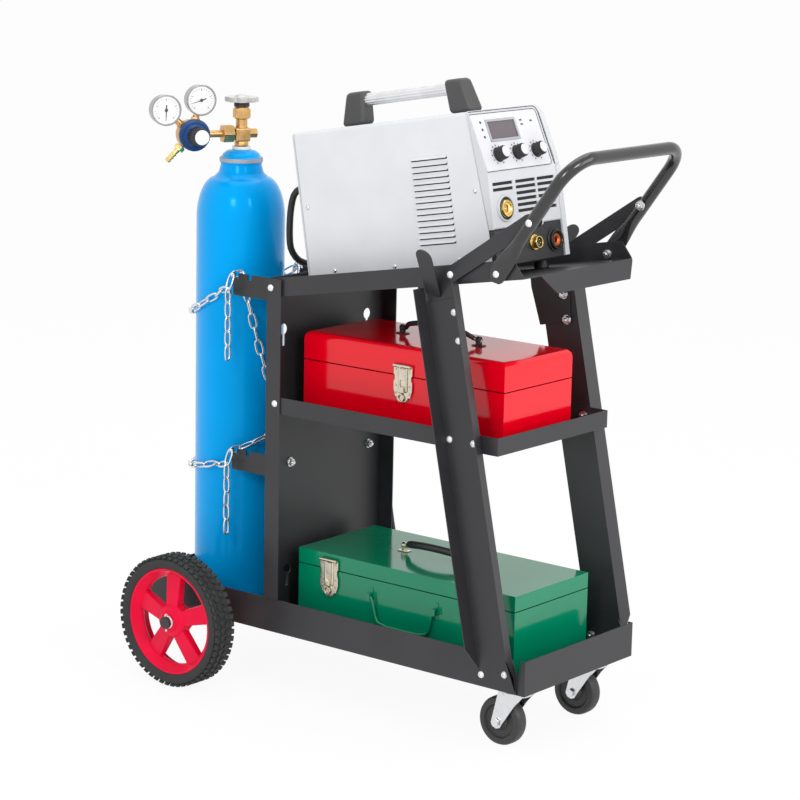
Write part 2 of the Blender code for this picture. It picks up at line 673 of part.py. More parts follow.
def chain_joints(top, ring_low, slack):
    """Joints of the chain: tail, near slot, slack between the arms, far slot, round the cylinder."""
    half = LINK_PITCH / 2
    hang = top - SLOT_DEPTH + LINK_WIDE + GAP
    near_out = Vector((ARM_SLOT, -ARM_HALF - half, hang))
    near_in = Vector((ARM_SLOT, -ARM_HALF + half, hang))
    far_in = Vector((ARM_SLOT, ARM_HALF - half, hang))
    far_out = Vector((ARM_SLOT, ARM_HALF + half, hang))
    hooked = near_out + Vector((-0.10, -0.30, -0.95)).normalized() * LINK_PITCH
    tail = [near_out, hooked]
    for number in range(5):
        tail.append(hooked + Vector((0, 0, -LINK_PITCH * (number + 1))))

    def between_arms(sag):
        fine = []
        for number in range(401):
            share = 2 * number / 400 - 1
            y = (ARM_HALF - half) * share
            fine.append(Vector((ARM_SLOT + 0.0180 * (1 - share ** 2), y,
                                hang - sag * (1 - abs(share) ** 1.7))))
        return fine

    def round_cylinder(sag):
        route = [far_out, far_out + Vector((-0.012, 0.001, -0.005))]
        for number in range(15):
            share = (number + 1.4) / 16.8
            angle = math.radians(78 + 204 * number / 14)
            end = far_out.z if share < 0.5 else hooked.z
            z = ring_low - sag + (end - ring_low + sag) * (1 - 2 * share) ** 2
            route.append(Vector((GAS_X + CHAIN_R * math.cos(angle), CHAIN_R * math.sin(angle), z)))
        route.append(hooked + Vector((-0.012, 0.0025, -0.003)))
        route.append(hooked)
        return smooth_path(route, 0.0005)[0]

    hanging = strand(between_arms, slack)
    slots = (len(tail) - 1, len(tail) + len(hanging) - 1)
    return list(reversed(tail)) + hanging + strand(round_cylinder, 0.0), slots


def make_chain(name, top, ring_low, slack, cart):
    """Links threaded through each other, each a quarter turn from the last."""
    joints, slots = chain_joints(top, ring_low, slack)
    batches = [bmesh.new(), bmesh.new(), bmesh.new()]
    source = tube("chain_link", link_outline(), LINK_WIRE, cart, resolution=0, closed=True)
    last = len(joints) - 2
    side = Vector((1, 0, 0))
    for number, (a, b) in enumerate(zip(joints, joints[1:])):
        along = (b - a).normalized()
        level = Vector((0, 0, 1)).cross(along)
        side = level if level.length > 0.35 else side - along * side.dot(along)
        side.normalize()
        face = along.cross(side)
        away = min(abs(number - slot) for slot in slots)
        roll = math.radians(min(45, 15 * max(0, away - 1))) if number > slots[0] else 0.0
        between = slots[1] - slots[0]
        roll += between % 2 * math.pi / 2 * min(1.0, max(0.0, (number - slots[0]) / between))
        spin = Matrix.Rotation(roll + ((number - slots[0] + 1) % 2) * math.pi / 2, 4, "X")
        place = Matrix((along, side, face)).transposed().to_4x4()
        place.translation = (a + b) / 2
        bm = batches[2 if number == last else number % 2]
        before = len(bm.verts)
        bm.from_mesh(source.data)
        bm.verts.ensure_lookup_table()
        bmesh.ops.transform(bm, matrix=place @ spin, verts=bm.verts[before:])
    bpy.data.objects.remove(source)
    chain = add(name, mesh_from(batches[0], name), cart, "zinc")
    join(chain, add(name + "_other_links", mesh_from(batches[1], name + "_other"), cart),
         add(name + "_closing_link", mesh_from(batches[2], name + "_closing"), cart))
    print(name, len(joints) - 1, "links")


# Gas cylinder and regulator -----------------------------------------------------------------------
def make_gas(cart):
    foot = BASE_Z + SHEET + GAP
    dome = [(0.034 + 0.026 * math.cos(math.radians(a)), GAS_SHOULDER + 0.056 * math.sin(math.radians(a)))
            for a in (76, 52, 26, 0)]
    profile = [(0, 0.7030), (0.0110, 0.7030), (0.0115, 0.6985), (0.0190, 0.6970), (0.0245, 0.6930),
               (0.0262, 0.6895), (0.0284, 0.6885), (0.0284, 0.6805), (0.0272, 0.6795), (0.0300, 0.6680),
               *dome,
               (GAS_R, foot + 0.012), (GAS_R - 0.004, foot), (0, foot)]
    turned("gas_cylinder", profile, 32, cart, "gas_blue", at=(GAS_X, 0, 0))
    valve = turned("cylinder_valve", [(0, 0.7550), (0.0105, 0.7550), (0.0115, 0.7530), (0.0115, 0.7410),
                                      (0.0078, 0.7390), (0.0078, 0.7300), (0.0085, 0.7270), (0.0085, 0.7100),
                                      (0.0095, 0.7080), (0.0095, 0.7033), (0, 0.7033)], 12, cart, "brass",
                   at=(GAS_X, 0, 0))
    join(valve, box("valve_block", (-0.0110, -0.0095, 0.7095), (0.0100, 0.0095, 0.7280), cart,
                    at=(GAS_X, 0, 0), turn=(0, 0, REGULATOR_TURN)))
    outlet = frame_empty("outlet", cart, (GAS_X, 0, OUTLET_Z), (0, 0, REGULATOR_TURN))
    join(valve, rods("valve_ports", [(0.0075, -0.0125, -0.0005, "X", (0, 0, 0), 12),
                                     (0.0065, 0.0005, 0.0210, "X", (0, 0, 0), 6)], outlet))
    join(valve, rods("spindle", [(0.0062, 0.754, 0.7612, "Z", (0, 0, 0), 12)], cart, at=(GAS_X, 0, 0)))
    lobes = 8
    rim = [(r * math.cos(a), r * math.sin(a))
           for a, r in ((math.tau * i / (3 * lobes), 0.0202 if i % 3 == 0 else 0.0230)
                        for i in range(3 * lobes))]
    wheel = plate("valve_handwheel", rim, 0.0065, cart, "clear_plastic", at=(GAS_X, 0, WHEEL_Z))
    hub = [(0, 0.0060), (0.0070, 0.0060), (0.0120, 0.0020), (0.0075, -0.0042), (0, -0.0042)]
    join(wheel, turned("wheel_hub", hub, 16, cart, at=(GAS_X, 0, WHEEL_Z)))


def make_regulator(cart):
    reach = Vector((math.cos(REGULATOR_TURN), math.sin(REGULATOR_TURN), 0)) * REGULATOR_REACH
    origin = Vector((GAS_X, 0, OUTLET_Z)) - reach
    frame = frame_empty("regulator_frame", cart, origin, (0, 0, REGULATOR_TURN))
    body = turned("regulator_body", [(0, 0.0070), (0.0185, 0.0070), (0.0195, 0.0060), (0.0195, -0.0110),
                                     (0.0160, -0.0150), (0, -0.0150)], 18, frame, "brass", turn=FACE_LEFT)
    nut_end = REGULATOR_REACH - 0.0129
    join(body, rods("inlet_nut", [(0.0115, nut_end - 0.0150, nut_end, "X", (0, 0, 0), 6)], frame))
    join(body, rods("inlet_stem", [(0.0045, 0.0080, nut_end - 0.0130, "X", (0, 0, 0), 12)], frame))
    gauges = (("contents_gauge", (0.0105, 0.0460)), ("outlet_gauge", (-0.0385, 0.0335)))
    for name, (x, z) in gauges:
        stem = Vector((x, 0, z))
        reach_out = stem.length - GAUGE_R - GAP
        join(body, rods(name + "_stem", [(0.0050, 0.006, reach_out, "Z", (0, 0, 0), 10)], frame,
                        turn=(0, math.atan2(x, z), 0)))
        profile = [(0, 0.0070), (GAUGE_R - 0.0022, 0.0070), (GAUGE_R - 0.0012, 0.0095), (GAUGE_R, 0.0080),
                   (GAUGE_R, -0.0065), (GAUGE_R - 0.0020, -0.0085), (0, -0.0085)]
        turned(name, profile, 24, frame, "chrome", at=(x, 0, z), turn=FACE_LEFT)
    barb = [(0, 0.034), (0.0028, 0.034), (0.0044, 0.0285), (0.0030, 0.0280), (0.0044, 0.0210),
            (0.0030, 0.0205),
            (0.0040, 0.0125), (0.0062, 0.0120), (0.0062, 0.0060), (0.0042, 0.0050), (0.0042, -0.008),
            (0, -0.008)]
    down = math.radians(180 + 45)
    join(body, turned("hose_barb", barb, 8, frame, at=(0.0160 * math.sin(down), 0, 0.0160 * math.cos(down)),
                      turn=(0, down, 0)))
    bonnet = turned("regulator_bonnet", [(0, 0.0190), (0.0090, 0.0190), (0.0150, 0.0170), (0.0165, 0.0140),
                                         (0.0215, 0.0130), (0.0215, 0.0073), (0, 0.0073)], 20, frame,
                    "blue_plastic", turn=FACE_LEFT)
    join(bonnet, rods("adjusting_screw", [(0.0040, -0.0300, -0.0180, "Y", (0, 0, 0), 10)], frame))
    flutes = 8
    knob_grip = [(r * math.cos(a), r * math.sin(a))
                 for a, r in ((math.pi * i / flutes, 0.0113 if i % 2 else 0.0125) for i in range(2 * flutes))]
    knob = plate("regulator_knob", knob_grip, 0.0225, frame, "black_plastic", at=(0, -0.0308, 0), turn=UP_Y)
    cut(knob, rods("knob_bore", [(0.0045, -0.0310, -0.0150, "Y", (0, 0, 0), 8)], frame))
    cap = [(0, 0.0440), (0.0075, 0.0440), (0.0095, 0.0432), (0.0095, 0.0400), (0, 0.0400)]
    join(knob, turned("knob_cap", cap, 16, frame, turn=FACE_LEFT))


# Welder -------------------------------------------------------------------------------------------
def make_chassis(slope):
    """Sheet base on four rubber feet, with the power block that the case encloses."""
    floor = TOP_FLOOR + SHEET + GAP
    inner = WELDER_HALF - COVER - 0.0010
    chassis = box("welder_chassis", (WELDER_REAR + 0.0075, -inner, WELDER_FOOT),
                  (0.3160, inner, WELDER_FOOT + 0.0020),
                  slope, "black_plastic")
    join(chassis, box("power_block", (0.060, -0.052, WELDER_FOOT + 0.001), (0.290, 0.052, 0.700), slope))
    feet = [(0.0095, floor, WELDER_FOOT + 0.001, "Z", (u, y, 0), 14) for u in (0.045, 0.300)
            for y in (-0.056, 0.056)]
    join(chassis, rods("feet", feet, slope))


def make_cover(slope):
    """U-shaped sheet over the case, louvred at both sides, its front edge leaning back."""
    half = WELDER_HALF - COVER / 2
    top = WELDER_TOP - COVER / 2
    low = WELDER_FOOT + 0.0025
    round_r = 0.006
    profile = ([(-half, low)] + arc((-half + round_r, top - round_r), round_r, 180, 90, 3)
               + arc((half - round_r, top - round_r), round_r, 90, 0, 3) + [(half, low)])
    length = WELDER_COVER_FRONT - WELDER_REAR - 0.006
    cover = folded("welder_cover", profile, length, slope, "welder_grey", at=(WELDER_REAR + 0.006, 0, 0),
                   turn=ALONG_X, wall=COVER)
    lean = [(WELDER_COVER_FRONT - 0.0150, 0.7500), (WELDER_COVER_FRONT - 0.0001, 0.6000),
            (WELDER_COVER_FRONT + 0.0100, 0.6000), (WELDER_COVER_FRONT + 0.0100, 0.7500)]
    pitch = (LOUVRE_HIGH - LOUVRE_LOW) / (LOUVRES - 1)
    slots = [((LOUVRE_REAR, -0.1, LOUVRE_LOW + i * pitch - 0.0015),
              (LOUVRE_FRONT, 0.1, LOUVRE_LOW + i * pitch + 0.0015))
             for i in range(LOUVRES)]
    cut(cover, plate("cover_front_cut", lean, 0.3, slope, turn=UP_Y), boxes("louvres", slots, slope))


def on_control_panel(y, s, out=0.0):
    """Place on the leaning control panel: across, up it from the break line, and out of it."""
    return (WELDER_FACE - s * math.sin(PANEL_LEAN) + out * math.cos(PANEL_LEAN), y,
            WELDER_BREAK + s * math.cos(PANEL_LEAN) + out * math.sin(PANEL_LEAN))


def make_fascia(slope):
    """Moulded front: control panel that leans back over an upright half with vents and the torch socket."""
    half = WELDER_HALF + 0.0012
    top = on_control_panel(0, 0.0800)
    outline = [(WELDER_FACE, PANEL_SPLIT + GAP), (WELDER_FACE, WELDER_BREAK), (top[0], top[2]),
               (WELDER_COVER_FRONT - 0.0145, top[2]), (WELDER_COVER_FRONT + 0.0004, 0.6003),
               (WELDER_COVER_FRONT + 0.0004, PANEL_SPLIT + GAP)]
    fascia = plate("front_fascia", outline, 2 * half, slope, "fascia_grey", turn=UP_Y)
    bevel(fascia, 0.0020, 1, 40)
    pockets = []
    left, middle, right = (-0.068, -0.027), (-0.021, 0.020), (0.024, 0.060)
    rows = [(0.6535, (left, middle, right)), (0.6465, (left, middle, right))]
    rows += [(0.6390 - row * 0.0073, (middle, right)) for row in range(VENT_ROWS)]
    for w, columns in rows:
        for y0, y1 in columns:
            pockets.append(((WELDER_FACE - 0.0030, y0, w - 0.0020), (WELDER_FACE + 0.01, y1, w + 0.0020)))
    cut(fascia, boxes("front_vents", pockets, slope))
    low = on_control_panel(-0.0490, 0.0380, -0.0020)
    cut(fascia, box("display_recess", (0, 0, 0), (0.02, 0.0615, 0.0290), slope, at=low,
                    turn=(0, -PANEL_LEAN, 0)))
    torch = (0.0128, WELDER_FACE - 0.0060, WELDER_FACE + 0.01, "X", (0, *TORCH_AT), 20)
    cut(fascia, rods("torch_hole", [torch], slope))
    for name, y in KNOBS:
        cut(fascia, rods(name + "_hole", [(0.0032, -0.0060, 0.01, "X", (0, 0, 0), 10)], slope,
                         at=on_control_panel(y, KNOB_S), turn=(0, -PANEL_LEAN, 0)))


def make_socket_panel(slope):
    half = WELDER_HALF
    panel = box("socket_panel", (WELDER_COVER_FRONT + 0.0004, -half, WELDER_FOOT + 0.0015),
                (WELDER_FACE - 0.0010, half, PANEL_SPLIT), slope, "black_plastic")
    bevel(panel, 0.0015, 1, 40)
    for name, place, radius in (("control_hole", CONTROL_AT, 0.0078), ("earth_hole", EARTH_AT, 0.0128)):
        hole = (radius, WELDER_FACE - 0.0065, WELDER_FACE + 0.01, "X", (0, *place), 20)
        cut(panel, rods(name, [hole], slope))


def make_controls(slope):
    face = WELDER_FACE
    for name, y in KNOBS:
        axis = frame_empty(name + "_axis", slope, on_control_panel(y, KNOB_S), (0, -PANEL_LEAN, 0))
        grip = [(0.0088 * math.cos(a) * r, 0.0088 * math.sin(a) * r)
                for a, r in ((math.tau * i / 14, 1.0 if i % 2 else 0.93) for i in range(14))]
        knob = plate(name, grip, 0.0120, axis, "black_plastic", at=(0.0070, 0, 0), turn=FACE_FRONT)
        join(knob, rods(name + "_shaft", [(0.0029, -0.0050, 0.0020, "X", (0, 0, 0), 8),
                                          (0.0066, 0.0125, 0.0140, "X", (0, 0, 0), 12)], axis))
    turned("torch_socket", [(0.0060, face + 0.0100), (0.0100, face + 0.0110), (0.0122, face + 0.0090),
                            (0.0122, face - 0.0055), (0.0060, face - 0.0055)], 18, slope, "brass",
           at=(0, *TORCH_AT), turn=FACE_FRONT, ring=True)
    turned("control_socket", [(0, face + 0.0035), (0.0055, face + 0.0035), (0.0055, face + 0.0080),
                              (0.0075, face + 0.0080), (0.0075, face - 0.0062), (0, face - 0.0062)], 14,
           slope, "brass", at=(0, *CONTROL_AT), turn=FACE_FRONT)
    turned("earth_socket", [(0.0060, face + 0.0020), (0.0090, face + 0.0050), (0.0125, face + 0.0050),
                            (0.0125, face - 0.0062), (0.0060, face - 0.0062)], 18, slope, "gloss_black",
           at=(0, *EARTH_AT), turn=FACE_FRONT, ring=True)


def make_carry_handle(slope):
    """Two moulded posts that grip a fluted aluminium bar."""
    bar_w = 0.7770
    foot = WELDER_TOP + GAP
    rear_u, front_u = 0.0730, 0.2450
    posts = [((u - 0.0170, -0.0130, foot), (u + 0.0170, 0.0130, 0.7885)) for u in (rear_u, front_u)]
    bm = bmesh.new()
    for low, high in posts:
        verts = box_into(bm, low, high)
        top = [v for v in verts if v.co.z > 0.78]
        centre = (Vector(low) + Vector(high)) / 2
        bmesh.ops.scale(bm, vec=(0.80, 0.85, 1.0), space=Matrix.Translation(-centre), verts=top)
    handle = add("carry_handle", mesh_from(bm, "carry_handle"), slope, "black_plastic")
    bevel(handle, 0.0040, 2, 40)
    flutes = 12
    outline = [(r * math.cos(a), r * math.sin(a))
               for a, r in ((math.tau * i / (2 * flutes), 0.0082 if i % 2 else 0.0074)
                            for i in range(2 * flutes))]
    join(handle, plate("fluted_bar", outline, front_u - rear_u - 0.004, slope,
                       at=((rear_u + front_u) / 2, 0, bar_w), turn=FACE_FRONT))


def make_rear(slope):
    """Rear cover with a fan grille, a bezel for the switch and the tapered strain relief of the lead."""
    half = WELDER_HALF - 0.0008
    cover = box("welder_rear_cover", (WELDER_REAR, -half, WELDER_FOOT + 0.0025),
                (WELDER_REAR + 0.0055, half, WELDER_TOP - 0.0012), slope, "fascia_grey")
    bevel(cover, 0.0020, 1, 40)
    fan_y, fan_w = 0.0180, 0.6250
    for count, inner, outer in ((5, 0.012, 0.024), (7, 0.028, 0.042)):
        for number in range(count):
            start = number * 360 / count
            end = start + 360 / count - 10
            loop = arc((0, 0), outer, start, end, 2) + arc((0, 0), inner, end, start, 1)
            cut(cover, plate(f"fan_slot_{count}_{number}", loop, 0.02, slope,
                             at=(WELDER_REAR + 0.003, fan_y, fan_w), turn=ALONG_X))
    switch_y, switch_w = -0.0530, 0.6950
    cut(cover, box("switch_opening", (WELDER_REAR - 0.01, switch_y - 0.0070, switch_w - 0.0150),
                   (WELDER_REAR + 0.02, switch_y + 0.0070, switch_w + 0.0150), slope))
    relief_end = WELDER_REAR - 0.0325
    relief = [(0, WELDER_REAR + 0.0020), (0.0105, WELDER_REAR + 0.0020), (0.0105, WELDER_REAR - 0.0035),
              (LEAD_R + 0.0032, WELDER_REAR - 0.0040), (LEAD_R + 0.0009, relief_end), (0, relief_end)]
    join(cover, turned("strain_relief", relief, 12, slope, at=(0, GLAND_Y, GLAND_W), turn=FACE_FRONT))
    axis = frame_empty("switch_axis", slope, (WELDER_REAR + 0.0040, switch_y, switch_w),
                       (0, math.radians(-9), 0))
    rocker = box("power_switch", (-0.0070, -0.0062, -0.0130), (0.0050, 0.0062, 0.0130), axis, "black_plastic")
    bevel(rocker, 0.0015, 1, 40)


# Mains lead ---------------------------------------------------------------------------------------
def slope_point(u, y, w):
    return Vector((u * math.cos(TOP_TILT) - w * math.sin(TOP_TILT), y,
                   u * math.sin(TOP_TILT) + w * math.cos(TOP_TILT)))


def lead_route():
    """Hand-placed points from the strain relief to the floor, then tangent into the coil."""
    start = slope_point(WELDER_REAR - 0.0328, GLAND_Y, GLAND_W)
    back = slope_point(WELDER_REAR - 0.0500, GLAND_Y, GLAND_W)
    return [start, back, (-0.1620, -0.0085, 0.6480), (-0.1730, -0.0060, 0.6290), (-0.1760, 0.0010, 0.6050),
            (-0.1735, 0.0140, 0.5800), (-0.1640, 0.0370, 0.5610), (-0.1510, 0.0700, 0.5525),
            (-0.1380, 0.1030, 0.5460),
            (-0.1260, 0.1290, 0.5240), (-0.1160, 0.1430, 0.4850),
            (-0.1060, 0.1480, 0.4000), (-0.0970, 0.1500, 0.3000), (-0.0880, 0.1530, 0.2000),
            (-0.0790, 0.1580, 0.1100),
            (-0.0700, 0.1640, 0.0500), (-0.0570, 0.1720, 0.0170), (-0.0330, 0.1810, 0.0062),
            (-0.0080, 0.1852, 0.0048)]


def coil_points(per_turn):
    """Flat spiral in, a climb of one diameter in half a turn, and a spiral out on top."""
    pitch = 2 * LEAD_R + 0.0008
    layer = COIL_TURNS / 2
    points = []
    count = round(COIL_TURNS * per_turn)
    for number in range(count + 1):
        turn = COIL_TURNS * number / count
        inwards = min(turn, layer) - max(0.0, turn - layer)
        radius = COIL_MEAN + pitch * (layer / 2 - inwards)
        rise = min(1.0, max(0.0, (turn - layer + 0.25) / 0.5))
        angle = -math.pi / 2 + math.tau * turn
        points.append(Vector((COIL_CENTRE[0] + radius * math.cos(angle),
                              COIL_CENTRE[1] + radius * math.sin(angle),
                              LEAD_R + rise * pitch)))
    return points


def make_lead(cart):
    coil = coil_points(24)
    first = coil[0]
    lead_in = Vector((first.x - 2 * LEAD_R, first.y, first.z))
    route = lead_route()
    route.append((lead_in.x - 0.012, lead_in.y - 0.0003, LEAD_R))
    route.append((lead_in.x - GAP, lead_in.y, LEAD_R))
    path, length = smooth_path(route[1:], 0.0230)
    path.insert(0, route[0])
    length += (route[1] - route[0]).length
    tube("mains_lead", path, LEAD_R, cart, "lead_rubber", resolution=2)
    last = coil[-1]
    out = (coil[-1] - coil[-2]).normalized()
    out.z = 0
    lead_out = last + out * 2 * LEAD_R
    turns = [lead_in, *coil, lead_out]
    tube("lead_coil", turns, LEAD_R, cart, "lead_rubber", resolution=1)
    coiled = sum((b - a).length for a, b in zip(turns, turns[1:]))
    apart = min((a - b).length for i, a in enumerate(coil) for b in coil[i + 12:]) - 2 * LEAD_R
    print(f"lead {length + coiled:.3f} m, coil {coiled:.3f} m, least gap in the coil {apart * 1000:.2f} mm")
    yaw = math.atan2(out.y, out.x)
    grip = frame_empty("plug_frame", cart, lead_out + out * GAP, (0, 0, yaw))
    plug = turned("mains_plug", [(0, 0.0560), (0.0125, 0.0560), (0.0138, 0.0530), (0.0132, 0.0260),
                                 (0.0080, 0.0120),
                                 (LEAD_R + 0.0012, 0), (0, 0)], 16, grip, "black_plastic", turn=FACE_FRONT)
    join(plug, boxes("plug_pins", [((0.055, y - 0.0022, -0.0008), (0.0745, y + 0.0022, 0.0008))
                                   for y in (-0.0064, 0.0064)], grip))


# Toolboxes ----------------------------------------------------------------------------------------
def ear_pair(name, places, parent, axis_at, pin_r, size, fused_to):
    """Small lugs with a bore for a pin along X."""
    width, depth, height = size
    y, z = axis_at
    lugs = boxes(name, [((x - width / 2, y - depth / 2, z - height),
                         (x + width / 2, y + depth / 2, z + 0.0045))
                        for x in places], parent)
    cut(lugs, rods(name + "_bores", [(pin_r + 0.0004, min(places) - 0.02, max(places) + 0.02, "X", (0, y, z),
                                      10)],
                   parent))
    join(fused_to, lugs)


def folding_handle(name, finish, middle, half, reach, pivot, parent, lid):
    """Bent wire with a fat grip, folded flat on the lid; its ends turn in two lugs."""
    y, z = pivot
    path = [(middle - half - 0.0090, y, z), (middle - half, y, z), (middle - half, y - reach, z),
            (middle + half, y - reach, z), (middle + half, y, z), (middle + half + 0.0090, y, z)]
    handle = tube(name, path, HANDLE_WIRE, parent, finish, resolution=2)
    join(handle, rods(name + "_grip", [(0.0058, -half + 0.012, half - 0.012, "X", (middle, y - reach, z),
                                        12)], parent))
    ear_pair(name + "_lugs", (middle - half - 0.0060, middle + half + 0.0060), parent, pivot, HANDLE_WIRE,
             (0.0050, 0.0100, 0.0080), lid)


def make_toolbox(colour, low, high, split, rounding, latches, handle, cart):
    """Sheet box and lid, hinged at the far side, with hasps on the near face and a handle on top."""
    finish = colour + "_enamel"
    body = open_box(colour + "_box", low, (high[0], high[1], split), [(0, 0, 1)], BOX_WALL, cart, finish)
    lid = open_box(colour + "_lid", (low[0], low[1], split + GAP), high, [(0, 0, -1)], BOX_WALL, cart, finish)
    if rounding:
        lid.modifiers.clear()
        bm = bmesh.new()
        bm.from_mesh(lid.data)
        tops = [e for e in bm.edges
                if len(e.link_faces) == 2 and min(v.co.z for v in e.verts) > high[2] - 1e-4]
        bmesh.ops.bevel(bm, geom=tops, offset=rounding, segments=3, profile=0.5, affect="EDGES")
        bm.to_mesh(lid.data)
        bm.free()
        thicken(lid, BOX_WALL, -1)
    hinge_y = high[1] + HINGE_OUT
    middle = (low[0] + high[0]) / 2
    long_half = (high[0] - low[0]) / 2 - 0.020
    pin = (HINGE_R, middle - long_half, middle + long_half, "X", (0, hinge_y, split), 8)
    knuckle = rods(colour + "_knuckle", [pin], cart)
    leaf = box(colour + "_leaf", (middle - long_half, high[1] - 0.0006, split + 0.0010),
               (middle + long_half, hinge_y, split + 0.0022), cart)
    join(lid, knuckle, leaf)
    for name, x in latches:
        make_latch(name, x, low[1], split, cart, body)
    folding_handle(colour + "_handle", "black_plastic", *handle, (0.0, high[2] + 0.0078), cart, lid)
    return body


def make_latch(name, x, face_y, split, cart, body):
    """Hasp that hangs from the lid over a strike plate on the box, with a raised turn button."""
    strike = box(name + "_strike", (x - LATCH_HALF + 0.002, face_y - 0.0010, split - 0.0310),
                 (x + LATCH_HALF - 0.002, face_y + 0.0004, split - 0.0030), cart)
    join(body, strike)
    y = face_y - 0.0016
    top = split + LATCH_TOP
    hasp = box(name, (x - LATCH_HALF, y - 0.0014, split - LATCH_DROP), (x + LATCH_HALF, y, top), cart,
               "nickel")
    knuckle = (0.0024, -LATCH_HALF + 0.001, LATCH_HALF - 0.001, "X", (x, y - 0.0012, top), 10)
    button = box(name + "_button", (x - 0.0060, y - 0.0080, split - 0.0210),
                 (x + 0.0060, y - 0.0010, split - 0.0130),
                 cart)
    join(hasp, rods(name + "_knuckle", [knuckle], cart), button)


def make_bail(cart, box_body):
    """Wire bail that hangs on the green box's near face."""
    y, z = BAIL_Y, BAIL_Z
    left, right = 0.0500, 0.1480
    low = z - 0.0360
    path = [(left - 0.0065, y, z), (left, y, z), (left + 0.0050, y, low + 0.0060), (left + 0.0110, y, low),
            (right - 0.0110, y, low), (right - 0.0050, y, low + 0.0060), (right, y, z),
            (right + 0.0065, y, z)]
    tube("green_bail", path, BAIL_WIRE, cart, "green_enamel", resolution=2)
    lugs = boxes("bail_lugs", [((x - 0.0022, y - 0.0040, z - 0.0045), (x + 0.0022, -0.0785, z + 0.0045))
                               for x in (left - 0.0045, right + 0.0045)], cart)
    cut(lugs, rods("bail_bores", [(BAIL_WIRE + 0.0004, left - 0.02, right + 0.02, "X", (0, y, z), 10)], cart))
    join(box_body, lugs)


# Assembly -----------------------------------------------------------------------------------------
def main():
    clear_scene()
    bpy.context.scene.collection.children.link(PART)
    bpy.context.scene.collection.children.link(CUTTERS)
    cart = frame_empty("cart", at=(-MIDDLE_X, 0, 0))
    slope = frame_empty("top_slope", cart, turn=(0, -TOP_TILT, 0))

    make_base_tray(cart)
    make_middle_shelf(cart)
    make_top_tray(slope)
    make_rear_panel(cart)
    make_cylinder_bracket("upper_cylinder_bracket", *UPPER_ARM, cart)
    make_cylinder_bracket("lower_cylinder_bracket", *LOWER_ARM, cart)
    for name, side in (("left", -1), ("right", 1)):
        make_leg(name + "_leg", side, cart)
        make_cable_hook(name + "_cable_hook", side, cart)
        make_brace(name + "_handle_brace", side, cart)
        make_wheel(name, side, cart)
        make_caster(name + "_caster", side * CASTER_Y, cart)
    make_push_handle(cart)
    make_chain("upper_chain", UPPER_ARM[1], 0.478, 0.168, cart)
    make_chain("lower_chain", LOWER_ARM[1], 0.246, 0.014, cart)
    make_gas(cart)
    make_regulator(cart)

    make_chassis(slope)
    make_cover(slope)
    make_fascia(slope)
    make_socket_panel(slope)
    make_controls(slope)
    make_carry_handle(slope)
    make_rear(slope)
    make_lead(cart)

    shelf_floor = SHELF_Z + SHEET + GAP
    make_toolbox("red", (-0.082, -0.072, shelf_floor), (0.244, 0.072, RED_TOP), RED_SPLIT, 0.010,
                 (("red_latch", 0.0860),), (0.0865, 0.0560, 0.0360), cart)
    base_floor = BASE_Z + SHEET + GAP
    green = make_toolbox("green", (-0.080, -0.079, base_floor), (0.275, 0.079, GREEN_TOP), GREEN_SPLIT, 0.0,
                         (("green_latch_rear", -0.0250), ("green_latch_front", 0.2200)),
                         (0.0975, 0.0560, 0.0360), cart)
    make_bail(cart, green)


main()
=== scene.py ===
"""Looks of a welding cart: sheet-steel trays, gas cylinder and regulator, welder and two toolboxes."""
import math

import bmesh
import bpy
from mathutils import Matrix, Vector


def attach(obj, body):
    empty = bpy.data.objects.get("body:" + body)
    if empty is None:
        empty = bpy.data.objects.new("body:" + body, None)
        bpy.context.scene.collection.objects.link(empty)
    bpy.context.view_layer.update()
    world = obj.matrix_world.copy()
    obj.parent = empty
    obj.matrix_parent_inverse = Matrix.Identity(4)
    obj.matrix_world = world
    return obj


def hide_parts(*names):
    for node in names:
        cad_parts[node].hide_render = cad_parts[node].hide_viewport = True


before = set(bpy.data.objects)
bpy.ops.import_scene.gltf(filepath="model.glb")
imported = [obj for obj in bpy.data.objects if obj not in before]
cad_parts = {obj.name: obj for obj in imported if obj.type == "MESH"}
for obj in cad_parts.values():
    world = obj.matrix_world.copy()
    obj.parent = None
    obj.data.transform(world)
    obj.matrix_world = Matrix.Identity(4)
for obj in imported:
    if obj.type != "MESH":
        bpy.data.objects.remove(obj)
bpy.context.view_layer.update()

# Studio -------------------------------------------------------------------------------------------
# A long lens looks at the cart's left side and front from a little above.
# White surroundings show in the gloss, and the lamps stay soft.
scene = bpy.context.scene
scene.view_settings.view_transform = "Standard"
CAMERA_AT = Vector((2.1219, -2.6694, 1.1019))
CAMERA_AZIMUTH = math.radians(38.56)
CAMERA_ELEVATION = math.radians(11.71)
CAMERA_ROLL = math.radians(1.2)
LENS = 120.08
WHITE_DIFFUSE = 0.74
FLOOR_COLOUR = (0.93, 0.93, 0.93, 1.0)
FLOOR_GLOW = 0.93

camera_data = bpy.data.cameras.new("camera")
camera_data.lens = LENS
camera_data.sensor_width = 36.0
camera = bpy.data.objects.new("camera", camera_data)
scene.collection.objects.link(camera)
back = Vector((math.sin(CAMERA_AZIMUTH) * math.cos(CAMERA_ELEVATION),
               -math.cos(CAMERA_AZIMUTH) * math.cos(CAMERA_ELEVATION), math.sin(CAMERA_ELEVATION)))
level = Vector((math.cos(CAMERA_AZIMUTH), math.sin(CAMERA_AZIMUTH), 0))
rise = back.cross(level)
right = level * math.cos(CAMERA_ROLL) + rise * math.sin(CAMERA_ROLL)
upward = rise * math.cos(CAMERA_ROLL) - level * math.sin(CAMERA_ROLL)
camera.matrix_world = Matrix.Translation(CAMERA_AT) @ Matrix((right, upward, back)).transposed().to_4x4()
scene.camera = camera


